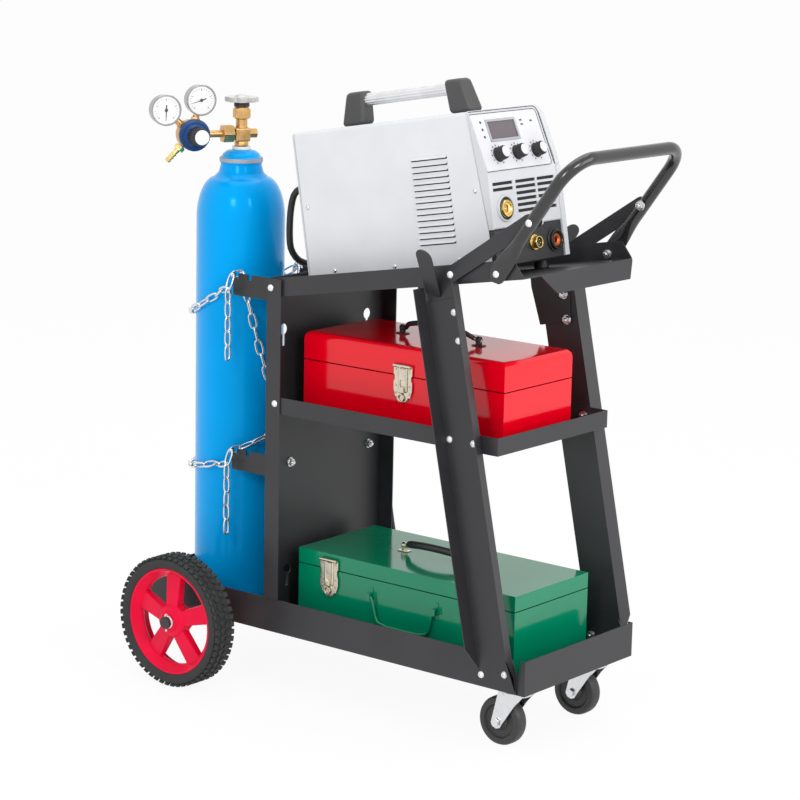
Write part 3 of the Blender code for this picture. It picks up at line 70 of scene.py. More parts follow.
def seen_directly(tree):
    """1 for camera, glossy and transmission rays, 0 for the light that falls on surfaces."""
    path = tree.nodes.new("ShaderNodeLightPath")
    either = tree.nodes.new("ShaderNodeMath")
    either.operation = "MAXIMUM"
    tree.links.new(path.outputs["Is Camera Ray"], either.inputs[0])
    tree.links.new(path.outputs["Is Glossy Ray"], either.inputs[1])
    any_of = tree.nodes.new("ShaderNodeMath")
    any_of.operation = "MAXIMUM"
    tree.links.new(either.outputs[0], any_of.inputs[0])
    tree.links.new(path.outputs["Is Transmission Ray"], any_of.inputs[1])
    return any_of.outputs[0]


world = bpy.data.worlds.new("white_studio")
scene.world = world
world.use_nodes = True
sky = world.node_tree
sky_strength = sky.nodes.new("ShaderNodeMapRange")
sky_strength.inputs["To Min"].default_value = WHITE_DIFFUSE
sky_strength.inputs["To Max"].default_value = 1.0
sky.links.new(seen_directly(sky), sky_strength.inputs["Value"])
sky.nodes["Background"].inputs["Color"].default_value = (1.0, 1.0, 1.0, 1.0)
sky.links.new(sky_strength.outputs["Result"], sky.nodes["Background"].inputs["Strength"])

bpy.ops.mesh.primitive_plane_add(size=60, location=(0, 0, 0))
floor = bpy.context.object
floor.name = "floor"
floor_paint = bpy.data.materials.new("floor_white")
floor_paint.use_nodes = True
tree = floor_paint.node_tree
matt = tree.nodes["Principled BSDF"]
matt.inputs["Base Color"].default_value = FLOOR_COLOUR
matt.inputs["Roughness"].default_value = 0.9
matt.inputs["Specular IOR Level"].default_value = 0.0
glow = tree.nodes.new("ShaderNodeEmission")
glow.inputs["Strength"].default_value = 1.0
share = tree.nodes.new("ShaderNodeMath")
share.operation = "MULTIPLY"
share.inputs[1].default_value = FLOOR_GLOW
mixed = tree.nodes.new("ShaderNodeMixShader")
tree.links.new(seen_directly(tree), share.inputs[0])
tree.links.new(share.outputs[0], mixed.inputs["Fac"])
tree.links.new(matt.outputs[0], mixed.inputs[1])
tree.links.new(glow.outputs[0], mixed.inputs[2])
tree.links.new(mixed.outputs[0], tree.nodes["Material Output"].inputs["Surface"])
floor.data.materials.append(floor_paint)

for lamp_name, lamp_at, lamp_size, lamp_watts in (("key_left", (0.65, -2.43, 1.65), 0.6, 15.0),
                                                  ("key_right", (2.18, -0.87, 1.65), 0.6, 15.0),
                                                  ("fill", (2.6, 0.6, 1.3), 1.6, 20.0),
                                                  ("top", (-0.4, 0.3, 2.9), 2.2, 20.0)):
    lamp_data = bpy.data.lights.new(lamp_name, "AREA")
    lamp_data.size = lamp_size
    lamp_data.energy = lamp_watts
    lamp = bpy.data.objects.new(lamp_name, lamp_data)
    scene.collection.objects.link(lamp)
    lamp.location = lamp_at
    lamp.rotation_euler = (Vector((0, 0, 0.4)) - Vector(lamp_at)).to_track_quat("-Z", "Y").to_euler()

# Mains lead ---------------------------------------------------------------------------------------
# Two metres of round rubber flex: out of the welder's strain relief, down behind the far side, and
# coiled on the floor. Its plug is moulded, with two flat brass pins.
MIDDLE_X = 0.0284           # the layout's own zero lies this far behind the middle of the length
TILT = math.radians(9.9)
LEAD_R = 0.0045
GAP = 0.0003
COIL_AT = (0.0300, 0.2480)
COIL_MEAN = 0.0527
COIL_TURNS = 3.4
LAYOUT = Matrix.Translation((-MIDDLE_X, 0, 0))
SLOPE = LAYOUT @ Matrix.Rotation(-TILT, 4, "Y")


def enter(piece):
    """Selects one piece alone."""
    bpy.ops.object.select_all(action="DESELECT")
    piece.select_set(True)
    bpy.context.view_layer.objects.active = piece


def coat(name, colour, roughness, metallic=0.0, clear=0.0, grain=0.0, grain_scale=700.0, patchy=0.06,
         patch_scale=22.0, tint=0.10, sheen=None):
    """A finish whose fine grain is a bump, and whose roughness and colour drift in wide soft patches.

    A sheen colours its reflections.
    """
    material = bpy.data.materials.new(name)
    material.use_nodes = True
    nodes = material.node_tree.nodes
    links = material.node_tree.links
    shader = nodes["Principled BSDF"]
    shader.inputs["Metallic"].default_value = metallic
    shader.inputs["Coat Weight"].default_value = clear
    shader.inputs["Coat Roughness"].default_value = 0.08
    if sheen:
        shader.inputs["Specular Tint"].default_value = (*sheen, 1.0)
    place = nodes.new("ShaderNodeTexCoord")
    patches = nodes.new("ShaderNodeTexNoise")
    patches.inputs["Scale"].default_value = patch_scale
    patches.inputs["Detail"].default_value = 5.0
    links.new(place.outputs["Object"], patches.inputs["Vector"])
    rough = nodes.new("ShaderNodeMapRange")
    rough.inputs["From Min"].default_value = 0.3
    rough.inputs["From Max"].default_value = 0.7
    rough.inputs["To Min"].default_value = max(0.02, roughness - patchy)
    rough.inputs["To Max"].default_value = roughness + patchy
    links.new(patches.outputs["Fac"], rough.inputs["Value"])
    links.new(rough.outputs["Result"], shader.inputs["Roughness"])
    ramp = nodes.new("ShaderNodeValToRGB")
    ramp.color_ramp.elements[0].position = 0.32
    ramp.color_ramp.elements[0].color = (*[c * (1 - tint) for c in colour], 1.0)
    ramp.color_ramp.elements[1].position = 0.68
    ramp.color_ramp.elements[1].color = (*[min(1.0, c * (1 + tint)) for c in colour], 1.0)
    links.new(patches.outputs["Fac"], ramp.inputs["Fac"])
    links.new(ramp.outputs["Color"], shader.inputs["Base Color"])
    if grain:
        fine = nodes.new("ShaderNodeTexNoise")
        fine.inputs["Scale"].default_value = grain_scale
        fine.inputs["Detail"].default_value = 3.0
        links.new(place.outputs["Object"], fine.inputs["Vector"])
        bump = nodes.new("ShaderNodeBump")
        bump.inputs["Strength"].default_value = grain
        bump.inputs["Distance"].default_value = 0.0004
        links.new(fine.outputs["Fac"], bump.inputs["Height"])
        links.new(bump.outputs["Normal"], shader.inputs["Normal"])
    return material


def settle(piece, body, slot_name, material, *nodes, at=None, smooth=35):
    """Puts the mesh in its place, gives the finish, and lets the piece ride for its nodes."""
    if at is not None:
        piece.matrix_world = at
    enter(piece)
    bpy.ops.object.transform_apply(location=True, rotation=True, scale=True)
    piece.data.materials.clear()
    piece.data.materials.append(material)
    bpy.ops.object.shade_smooth_by_angle(angle=math.radians(smooth))
    even = piece.modifiers.new("even", "WEIGHTED_NORMAL")
    even.keep_sharp = True
    bpy.ops.object.modifier_apply(modifier=even.name)
    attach(piece, body)
    if nodes:
        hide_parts(*nodes)
    return piece


def soften(piece, width, segments=2, angle=30):
    """Rounds the sharp edges of a piece."""
    enter(piece)
    edges = piece.modifiers.new("edges", "BEVEL")
    edges.width = width
    edges.segments = segments
    edges.limit_method = "ANGLE"
    edges.angle_limit = math.radians(angle)
    edges.use_clamp_overlap = True
    bpy.ops.object.modifier_apply(modifier=edges.name)
    return piece


def turned(name, profile, steps=64, ring=False, rounding=0.0):
    """A profile of radius and height, spun round Z; a ring's profile is closed."""
    mesh = bpy.data.meshes.new(name)
    edges = [(i, i + 1) for i in range(len(profile) - 1)]
    if ring:
        edges.append((len(profile) - 1, 0))
    mesh.from_pydata([(radius, 0, height) for radius, height in profile], edges, [])
    piece = bpy.data.objects.new(name, mesh)
    scene.collection.objects.link(piece)
    enter(piece)
    bpy.ops.object.mode_set(mode="EDIT")
    bpy.ops.mesh.select_all(action="SELECT")
    bpy.ops.mesh.spin(steps=steps, angle=math.tau, center=(0, 0, 0), axis=(0, 0, 1))
    bpy.ops.mesh.select_all(action="SELECT")
    bpy.ops.mesh.remove_doubles(threshold=1e-6)
    bpy.ops.mesh.normals_make_consistent(inside=False)
    bpy.ops.object.mode_set(mode="OBJECT")
    if rounding:
        soften(piece, rounding)
    return piece


def smooth_path(points, spacing):
    """Evenly spaced points on a smooth curve through the given ones."""
    knots = [Vector(p) for p in points]
    knots = [2 * knots[0] - knots[1], *knots, 2 * knots[-1] - knots[-2]]
    fine = []
    for a, b, c, d in zip(knots, knots[1:], knots[2:], knots[3:]):
        for i in range(40):
            t = i / 40
            fine.append(0.5 * (2 * b + (c - a) * t + (2 * a - 5 * b + 4 * c - d) * t * t
                               + (3 * b - a - 3 * c + d) * t ** 3))
    fine.append(knots[-2])
    lengths = [0.0]
    for a, b in zip(fine, fine[1:]):
        lengths.append(lengths[-1] + (b - a).length)
    count = max(2, round(lengths[-1] / spacing))
    out = []
    step = 0
    for i in range(count + 1):
        want = lengths[-1] * i / count
        while step < len(fine) - 2 and lengths[step + 1] < want:
            step += 1
        span = lengths[step + 1] - lengths[step]
        out.append(fine[step].lerp(fine[step + 1], (want - lengths[step]) / span if span else 0.0))
    return out


def coil_place(turn):
    """A point of the coil: it spirals in, climbs one diameter in half a turn, and spirals out."""
    pitch = 2 * LEAD_R + 0.0008
    layer = COIL_TURNS / 2
    inwards = min(turn, layer) - max(0.0, turn - layer)
    radius = COIL_MEAN + pitch * (layer / 2 - inwards)
    climb = min(1.0, max(0.0, (turn - layer + 0.25) / 0.5))
    angle = -math.pi / 2 + math.tau * turn
    return Vector((COIL_AT[0] + radius * math.cos(angle), COIL_AT[1] + radius * math.sin(angle),
                   LEAD_R + climb * pitch))


def laid(*points):
    return [Vector(p) - Vector((MIDDLE_X, 0, 0)) for p in points]


COIL_POINTS = round(COIL_TURNS * 48)
coil = laid(*[coil_place(COIL_TURNS * i / COIL_POINTS) for i in range(COIL_POINTS + 1)])
lead_start = SLOPE @ Vector((-0.0128, -0.010, 0.672))
lead_back = SLOPE @ Vector((-0.0300, -0.010, 0.672))
hanging = laid((-0.1560, -0.0100, 0.6480), (-0.1620, -0.0100, 0.6250), (-0.1632, -0.0100, 0.5910),
               (-0.1622, -0.0060, 0.5710), (-0.1595, 0.0100, 0.5555), (-0.1530, 0.0380, 0.5502),
               (-0.1460, 0.0660, 0.5495), (-0.1380, 0.1010, 0.5450), (-0.1290, 0.1290, 0.5240),
               (-0.1250, 0.1430, 0.4850),
               (-0.1240, 0.1480, 0.4000), (-0.1210, 0.1480, 0.3000), (-0.1120, 0.1500, 0.2000),
               (-0.0960, 0.1560, 0.1100), (-0.0800, 0.1640, 0.0500), (-0.0610, 0.1720, 0.0170),
               (-0.0330, 0.1810, 0.0062), (-0.0080, 0.1852, 0.0048))
lead_in = coil[0] - Vector((2 * LEAD_R, 0, 0))
hanging += [lead_in + Vector((-0.012, -0.0003, 0)), lead_in]
coil_end = (coil[-1] - coil[-2]).normalized()
coil_end.z = 0
lead_out = coil[-1] + coil_end * 2 * LEAD_R
lead_path = [lead_start] + smooth_path([lead_back, *hanging], 0.008) + coil + [lead_out]
lead_curve = bpy.data.curves.new("flex", "CURVE")
lead_curve.dimensions = "3D"
lead_curve.bevel_depth = LEAD_R
lead_curve.bevel_resolution = 5
lead_curve.use_fill_caps = True
spline = lead_curve.splines.new("POLY")
spline.points.add(len(lead_path) - 1)
for point, at in zip(spline.points, lead_path):
    point.co = (at.x, at.y, max(at.z, LEAD_R), 1.0)
    point.radius = 1.0
spline.use_smooth = True
flex = bpy.data.objects.new("flex", lead_curve)
scene.collection.objects.link(flex)
flex_rubber = coat("flex_rubber", (0.018, 0.018, 0.019), 0.5, grain=0.15, grain_scale=1400, patchy=0.08)
flex.data.materials.append(flex_rubber)
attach(flex, "welder")
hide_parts("mains_lead", "lead_coil")

plug_turn = math.atan2(coil_end.y, coil_end.x)
plug_place = Matrix.Translation(lead_out + coil_end * GAP) @ Matrix.Rotation(plug_turn, 4, "Z")
FACING_X = Matrix.Rotation(math.pi / 2, 4, "Y")
FACING_BACK = Matrix.Rotation(-math.pi / 2, 4, "Y")
FACING_LEFT = Matrix.Rotation(math.pi / 2, 4, "X")
grip = [(0, 0.0560), (0.0125, 0.0560), (0.0138, 0.0530), (0.0136, 0.0440), (0.0120, 0.0410), (0.0120, 0.0380),
        (0.0134, 0.0350), (0.0132, 0.0260), (0.0105, 0.0190)]
for ridge in range(4):
    valley = 0.0082 - 0.0006 * ridge
    start = 0.0165 - 0.0042 * ridge
    grip += [(0.0092 - 0.0007 * ridge, start), (valley, start - 0.0010), (valley, start - 0.0027)]
grip += [(LEAD_R + 0.0012, 0), (0, 0)]
plug = turned("moulded_plug", grip, 40, rounding=0.0003)
settle(plug, "welder", "black_plastic", flex_rubber, "mains_plug", at=plug_place @ FACING_X)
pin_brass = coat("pin_brass", (0.72, 0.50, 0.22), 0.28, metallic=1.0, patchy=0.08)


def block(name, low, high, rounding=0.0005, segments=2):
    """A box from corner to corner with rounded edges."""
    size = Vector(high) - Vector(low)
    bpy.ops.object.select_all(action="DESELECT")
    bpy.ops.mesh.primitive_cube_add(size=1, location=(Vector(high) + Vector(low)) / 2, scale=size)
    piece = bpy.context.object
    piece.name = name
    bpy.ops.object.transform_apply(location=True, rotation=True, scale=True)
    if rounding:
        soften(piece, rounding, segments)
    return piece


def joined(name, *pieces):
    """Several shapes of one piece, kept as one object."""
    bpy.ops.object.select_all(action="DESELECT")
    for piece in pieces:
        piece.select_set(True)
    bpy.context.view_layer.objects.active = pieces[0]
    bpy.ops.object.join()
    pieces[0].name = name
    return pieces[0]


pins = joined("plug_pins", *[block("pin", (0.0550, y - 0.0022, -0.0008), (0.0745, y + 0.0022, 0.0008))
                             for y in (-0.0064, 0.0064)])
settle(pins, "welder", "brass", pin_brass, at=plug_place)

# Folded sheet of the cart -------------------------------------------------------------------------
# Trays, panel, brackets, legs and hooks are bent from 1.5 mm steel and powder coated satin black.
# Each keeps its own shape, with the small radius that folding and coating leave on every edge.
powder_coat = coat("satin_black_powder_coat", (0.026, 0.026, 0.029), 0.40, grain=0.10, grain_scale=900,
                   patchy=0.05, patch_scale=14, tint=0.12)


def rounded_copy(node, width, segments=2, weld=1e-6):
    """The node's own shape, welded, without its inner triangles, and with rounded edges."""
    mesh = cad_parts[node].data.copy()
    piece = bpy.data.objects.new(node + "_finished", mesh)
    scene.collection.objects.link(piece)
    bm = bmesh.new()
    bm.from_mesh(mesh)
    bmesh.ops.remove_doubles(bm, verts=bm.verts[:], dist=weld)
    bmesh.ops.dissolve_limit(bm, angle_limit=math.radians(0.5), verts=bm.verts[:], edges=bm.edges[:])
    bm.to_mesh(mesh)
    bm.free()
    return soften(piece, width, segments)


for node in ("base_tray", "middle_shelf", "top_tray", "upper_cylinder_bracket",
             "lower_cylinder_bracket", "left_leg", "right_leg", "left_cable_hook", "right_cable_hook",
             "left_handle_brace", "right_handle_brace"):
    settle(rounded_copy(node, 0.0005), "cart", "black_paint", powder_coat, node)


def cut_out(piece, *cutters, operation="DIFFERENCE"):
    """Takes shapes away from a piece, or adds them to it."""
    for cutter in cutters:
        enter(piece)
        taken = piece.modifiers.new("taken", "BOOLEAN")
        taken.operation = operation
        taken.solver = "EXACT"
        taken.object = cutter
        bpy.ops.object.modifier_apply(modifier=taken.name)
        bpy.data.objects.remove(cutter)
    return piece


panel = rounded_copy("rear_panel", 0.0005)
PANEL_BACK = -0.106 - MIDDLE_X
PANEL_FRONT = PANEL_BACK + 0.0015
KEYHOLE_R = 0.0074          # a round head over a narrow slot
for y, middle_z in ((0.0855, 0.476), (-0.0855, 0.476), (0.073, 0.150), (-0.073, 0.150)):
    cut_out(panel, block("filling", (PANEL_BACK, y - 0.0095, middle_z - 0.0185),
                         (PANEL_FRONT, y + 0.0095, middle_z + 0.0185), 0), operation="UNION")
    head = turned("head", [(0, -0.01), (KEYHOLE_R, -0.01), (KEYHOLE_R, 0.01), (0, 0.01)], 40)
    head.matrix_world = Matrix.Translation((PANEL_BACK, y - 0.0015, middle_z + 0.0070)) @ FACING_X
    slot_cut = block("slot", (PANEL_BACK - 0.01, y - 0.0042, middle_z - 0.0150),
                     (PANEL_FRONT + 0.01, y + 0.0012, middle_z + 0.0050), 0)
    cut_out(panel, head, slot_cut)
settle(panel, "cart", "black_paint", powder_coat, "rear_panel")

# Push handle --------------------------------------------------------------------------------------
# One bent steel tube in gloss black, its two ends pressed flat, rounded off and bolted to the tray.
# A ring of points is drawn along it, wide and thin at the ends and round from there on.
gloss_black = coat("gloss_black_enamel", (0.016, 0.016, 0.017), 0.20, clear=0.4)
TUBE_R = 0.0080
HANDLE_HALF = 0.1196
FLAT_Y = 0.1191             # middle of the flattened ends
FLAT_HALF = 0.0029
END_R = 0.0125
LOW = Vector((0.2631, 0, 0.6017))
HIGH = Vector((0.3694, 0, 0.7475))
BEND_R = 0.040
tube_up = (HIGH - LOW).normalized()
tube_face = Vector((tube_up.z, 0, -tube_up.x))


def ease(low, high, value):
    t = min(1.0, max(0.0, (value - low) / (high - low)))
    return t * t * (3 - 2 * t)


def piece_of(name, bm):
    """Ends a bmesh as a new piece."""
    mesh = bpy.data.meshes.new(name)
    bm.to_mesh(mesh)
    bm.free()
    piece = bpy.data.objects.new(name, mesh)
    scene.collection.objects.link(piece)
    return piece


stations = []
straight = (HIGH - LOW).length - BEND_R
for i in range(41):
    d = -END_R + (straight + END_R) * i / 40
    press = ease(0.018, 0.060, d)
    edge = math.sqrt(max(1e-8, END_R ** 2 - min(0.0, d) ** 2)) if d < 0 else END_R
    wide = edge + (TUBE_R - END_R) * press
    thin = FLAT_HALF + (TUBE_R - FLAT_HALF) * press
    y = FLAT_Y + (HANDLE_HALF - FLAT_Y) * press
    stations.append((LOW + tube_up * d - Vector((0, y, 0)), Vector((0, 1, 0)) * thin, tube_face * wide))
for i in range(1, 17):
    a = math.pi / 2 * i / 16
    centre = HIGH - tube_up * BEND_R - Vector((0, HANDLE_HALF - BEND_R, 0))
    at = centre + tube_up * BEND_R * math.sin(a) - Vector((0, BEND_R * math.cos(a), 0))
    inward = Vector((0, math.cos(a), 0)) - tube_up * math.sin(a)
    stations.append((at, inward * TUBE_R, tube_face * TUBE_R))
SIDES = 32


def ring_points(station, mirror):
    at, thin, wide = station
    out = []
    for i in range(SIDES):
        a = math.tau * i / SIDES
        p = at + thin * math.cos(a) + wide * math.sin(a)
        out.append(Vector((p.x, -p.y if mirror else p.y, p.z)))
    return out


rings = [ring_points(s, False) for s in stations] + [ring_points(s, True) for s in reversed(stations)]
bm = bmesh.new()
loops = [[bm.verts.new(p) for p in ring] for ring in rings]
for one, other in zip(loops, loops[1:]):
    for i in range(SIDES):
        k = (i + 1) % SIDES
        bm.faces.new((one[i], one[k], other[k], other[i]))
bm.faces.new(list(reversed(loops[0])))
bm.faces.new(loops[-1])
bmesh.ops.recalc_face_normals(bm, faces=bm.faces[:])
bent_tube = piece_of("bent_tube", bm)
settle(bent_tube, "cart", "gloss_black_paint", gloss_black, "push_handle", smooth=50, at=LAYOUT)

# Bolts and nuts of the cart -----------------------------------------------------------------------
# Bright zinc button-head screws outside, and nuts on the threads that stand out on the inside.
# Each kind is modelled once and copied to where the sheets meet.
bright_zinc = coat("bright_zinc", (0.74, 0.75, 0.77), 0.26, metallic=1.0, grain=0.05, grain_scale=500,
                   patchy=0.10, patch_scale=120, tint=0.05)
bolt_zinc = coat("bolt_zinc", (0.88, 0.88, 0.89), 0.42, metallic=0.55, patchy=0.08, patch_scale=150,
                 tint=0.04)


def hexagon(name, across, low, high):
    """A chamfered hexagon bar from low to high on Z."""
    bpy.ops.object.select_all(action="DESELECT")
    bpy.ops.mesh.primitive_cylinder_add(vertices=6, radius=across / math.sqrt(3), depth=high - low,
                                        location=(0, 0, (low + high) / 2))
    piece = bpy.context.object
    piece.name = name
    bpy.ops.object.transform_apply(location=True, rotation=True, scale=True)
    return soften(piece, 0.0005, 2)


def button_screw():
    """Domed head with a small hexagon socket."""
    return turned("screw", [(0, 0.0014), (0.0012, 0.0014), (0.0014, 0.0029), (0.0026, 0.0026),
                            (0.0038, 0.0017), (0.0045, 0.0005), (0.0045, 0.0002), (0, 0.0002)], 24)


def nut_on_thread():
    """Hexagon nut on a washer, with the end of the screw standing out of it."""
    washer = turned("washer", [(0, 0.0012), (0.0062, 0.0012), (0.0064, 0.0002), (0, 0.0002)], 24)
    nut = hexagon("nut", 0.0088, 0.0012, 0.0052)
    profile = [(0, 0.0078), (0.0020, 0.0078)]
    for turn in range(3):
        profile += [(0.0025, 0.0074 - 0.0007 * turn), (0.0021, 0.00705 - 0.0007 * turn)]
    end = turned("thread", profile + [(0.0024, 0.0050), (0, 0.0050)], 16)
    return joined("nut_and_thread", washer, nut, end)


def placed_copies(name, model, matrices):
    """Copies of a model, each with its own mesh, joined to one piece; the model goes."""
    bm = bmesh.new()
    for matrix in matrices:
        before = len(bm.verts)
        bm.from_mesh(model.data)
        bm.verts.ensure_lookup_table()
        bmesh.ops.transform(bm, matrix=matrix, verts=bm.verts[before:])
    bpy.data.objects.remove(model)
    return piece_of(name, bm)


def outward(side):
    """Turns a fastener whose head faces +Z to face the cart's left or right."""
    return Matrix.Rotation(-side * math.pi / 2, 4, "X")


LEG_FACE = 0.1194
side_screws = [(0.1930, 0.5930, 0.1209), (0.1990, 0.5470, LEG_FACE), (0.2070, 0.5126, LEG_FACE),
               (0.1970, 0.3880, LEG_FACE), (0.2340, 0.3880, LEG_FACE), (0.2555, 0.0980, LEG_FACE),
               (0.2910, 0.1050, LEG_FACE), (0.2631, 0.6017, 0.1222), (0.3133, 0.6690, 0.1276),
               (-0.0992, 0.5420, LEG_FACE), (-0.0903, 0.3908, LEG_FACE)]
screws = placed_copies("cart_screws", button_screw(),
                       [LAYOUT @ Matrix.Translation((x, side * y, z)) @ outward(side)
                        for side in (-1, 1) for x, z, y in side_screws])
settle(screws, "cart", "zinc", bolt_zinc)

inner_nuts = [(0.1970, 0.1158, 0.3880), (0.2340, 0.1158, 0.3880), (0.2580, 0.1158, 0.0975),
              (0.2910, 0.1158, 0.1050), (0.2631, 0.1140, 0.6017), (0.3133, 0.1090, 0.6690),
              (0.2030, 0.1158, 0.5096), (0.1965, 0.1158, 0.5420)]
panel_nuts = [(-0.1043, -0.0715, 0.3030), (-0.1043, 0.0910, 0.3020)]
nut_places = [Matrix.Translation((x, side * y, z)) @ outward(-side)
              for side in (-1, 1) for x, y, z in inner_nuts]
nut_places += [Matrix.Translation(at) @ FACING_X for at in panel_nuts]
nuts = placed_copies("cart_nuts", nut_on_thread(), [LAYOUT @ place for place in nut_places])
settle(nuts, "cart", "zinc", bright_zinc)

# Rear wheels --------------------------------------------------------------------------------------
# Red moulded rims with five broad spokes, and black tyres with a lugged tread, on a stub axle that
# ends in a washer and a split pin. Each wheel is modelled facing up and turned to its side.
rim_red = coat("rim_red_plastic", (0.80, 0.002, 0.045), 0.38, grain=0.06, grain_scale=350, tint=0.06,
               sheen=(1.0, 0.25, 0.30))
tyre_black = coat("tyre_black_rubber", (0.026, 0.027, 0.027), 0.72, grain=0.35, grain_scale=650, patchy=0.08,
                  patch_scale=60, tint=0.25)
WHEEL_AT = Vector((-0.208, 0.178, 0.089))
RIM_R = 0.0717
BEAD = 0.0155
SPOKES = 5
LUGS = 54                   # in each of the tread's two rows, large and small ones in turn
TYRE_HALF = 0.019
TREAD_R = 0.0889
large_lug = (0.0, 0.0855, 0.0138, "Y", math.radians(38), (0.0046, 0.0066, 0.0090, 1.0))
small_lug = (0.1, 0.0867, 0.0050, "X", math.radians(28), (0.0036, 0.0058, 0.0068, 1.0))


def wedge(name, low_r, high_r, low_half, high_half, low_z, high_z, slope_in):
    """A tapered bar along X whose top is narrower than its foot and dips by slope_in at its far end."""
    bm = bmesh.new()
    rows = ((low_r, low_half, high_z), (high_r, high_half, high_z - slope_in))
    verts = []
    for r, half, top in rows:
        verts.append([bm.verts.new((r, s * half * k, z)) for s, k, z in
                      ((-1, 1.0, low_z), (-1, 0.86, top), (1, 0.86, top), (1, 1.0, low_z))])
    bm.faces.new(verts[0])
    bm.faces.new(list(reversed(verts[1])))
    for i in range(4):
        bm.faces.new((verts[0][i], verts[0][(i + 1) % 4], verts[1][(i + 1) % 4], verts[1][i]))
    bmesh.ops.recalc_face_normals(bm, faces=bm.faces[:])
    return soften(piece_of(name, bm), 0.0014, 3)


for side, wheel_body in ((-1, "left_wheel"), (1, "right_wheel")):
    wheel_name = wheel_body.split("_")[0]
    hub_place = LAYOUT @ Matrix.Translation((WHEEL_AT.x, side * WHEEL_AT.y, WHEEL_AT.z)) @ outward(side)
    barrel = turned("barrel", [(RIM_R, BEAD), (RIM_R, -BEAD), (0.0668, -BEAD), (0.0655, -0.002),
                               (0.0610, -0.0015), (0.0590, 0.0020), (0.0612, 0.0060), (0.0660, 0.0110),
                               (0.0690, BEAD)], 128, ring=True, rounding=0.0007)
    hub = turned("hub", [(0, 0.0075), (0.0066, 0.0075), (0.0066, 0.0165), (0.0125, 0.0165), (0.0140, 0.0140),
                         (0.0205, 0.0125), (0.0235, 0.0090), (0.0245, -0.0020), (0.0190, -0.0040),
                         (0.0170, -0.0160), (0.0063, -0.0160), (0.0063, 0.0030), (0, 0.0030)],
                 64, rounding=0.0007)
    spokes = [wedge("spoke", 0.0190, 0.0640, 0.0112, 0.0148, -0.0015, 0.0105, 0.0045) for _ in range(SPOKES)]
    for number, spoke in enumerate(spokes):
        spoke.matrix_world = Matrix.Rotation(math.radians(90 + 360 / SPOKES * number), 4, "Z")
        enter(spoke)
        bpy.ops.object.transform_apply(location=True, rotation=True, scale=True)
    rim = joined(wheel_name + "_spoked_rim", barrel, hub, *spokes)
    settle(rim, wheel_body, "red_plastic", rim_red, wheel_name + "_rim", smooth=40, at=hub_place)

    half = TYRE_HALF
    wall = [(0.0745, half - 0.0015), (0.0800, half - 0.0002), (0.0835, half - 0.0016),
            (0.0858, half - 0.0060)]
    carcass = turned("carcass", [(0.0720, BEAD), (0.0720, -BEAD)] + [(r, -z) for r, z in wall] + [(0.0862, 0)]
                     + wall[::-1], 128, ring=True)
    bm = bmesh.new()
    for number in range(LUGS):
        for face in (-1, 1):
            for later, radius, across, axis, slant, size in (large_lug, small_lug):
                turn = math.tau * (number + 0.25 * face + later) / LUGS
                made = bmesh.ops.create_cube(bm, size=1.0)["verts"]
                shape = (Matrix.Rotation(turn, 4, "Z") @ Matrix.Translation((radius, 0, face * across))
                         @ Matrix.Rotation(face * slant, 4, axis) @ Matrix.Diagonal(size))
                bmesh.ops.transform(bm, matrix=shape, verts=made)
    for v in bm.verts:
        r = math.hypot(v.co.x, v.co.y)
        if r > TREAD_R:
            v.co.x *= TREAD_R / r
            v.co.y *= TREAD_R / r
        v.co.z = max(-half + 0.0001, min(half - 0.0001, v.co.z))
    tread = soften(piece_of("tread", bm), 0.0006, 1)
    tyre = joined(wheel_name + "_lugged_tyre", carcass, tread)
    settle(tyre, wheel_body, "tyre_rubber", tyre_black, wheel_name + "_tyre", at=hub_place)

    washer = turned("washer", [(0.0050, 0.0196), (0.0072, 0.0192), (0.0088, 0.0182), (0.0090, 0.0168),
                               (0.0050, 0.0168)], 40, ring=True, rounding=0.0002)
    end = turned("axle_end", [(0, 0.0228), (0.0052, 0.0228), (0.0058, 0.0220), (0.0058, 0.0170), (0, 0.0170)],
                 32, rounding=0.0003)
    bpy.ops.object.select_all(action="DESELECT")
    bpy.ops.mesh.primitive_torus_add(major_radius=0.0022, minor_radius=0.0007, major_segments=24,
                                     minor_segments=10, location=(0, 0.0092, 0.0203),
                                     rotation=(math.pi / 2, 0, math.pi / 2))
    eye = bpy.context.object
    legs = [block("pin_leg", (x, -0.0125, 0.0196), (x + 0.0012, 0.0078, 0.0208), 0.0004)
            for x in (-0.0013, 0.0002)]
    axle_end = joined(wheel_name + "_axle_end", washer, end, eye, *legs)
    settle(axle_end, "cart", "zinc", bolt_zinc, at=hub_place)

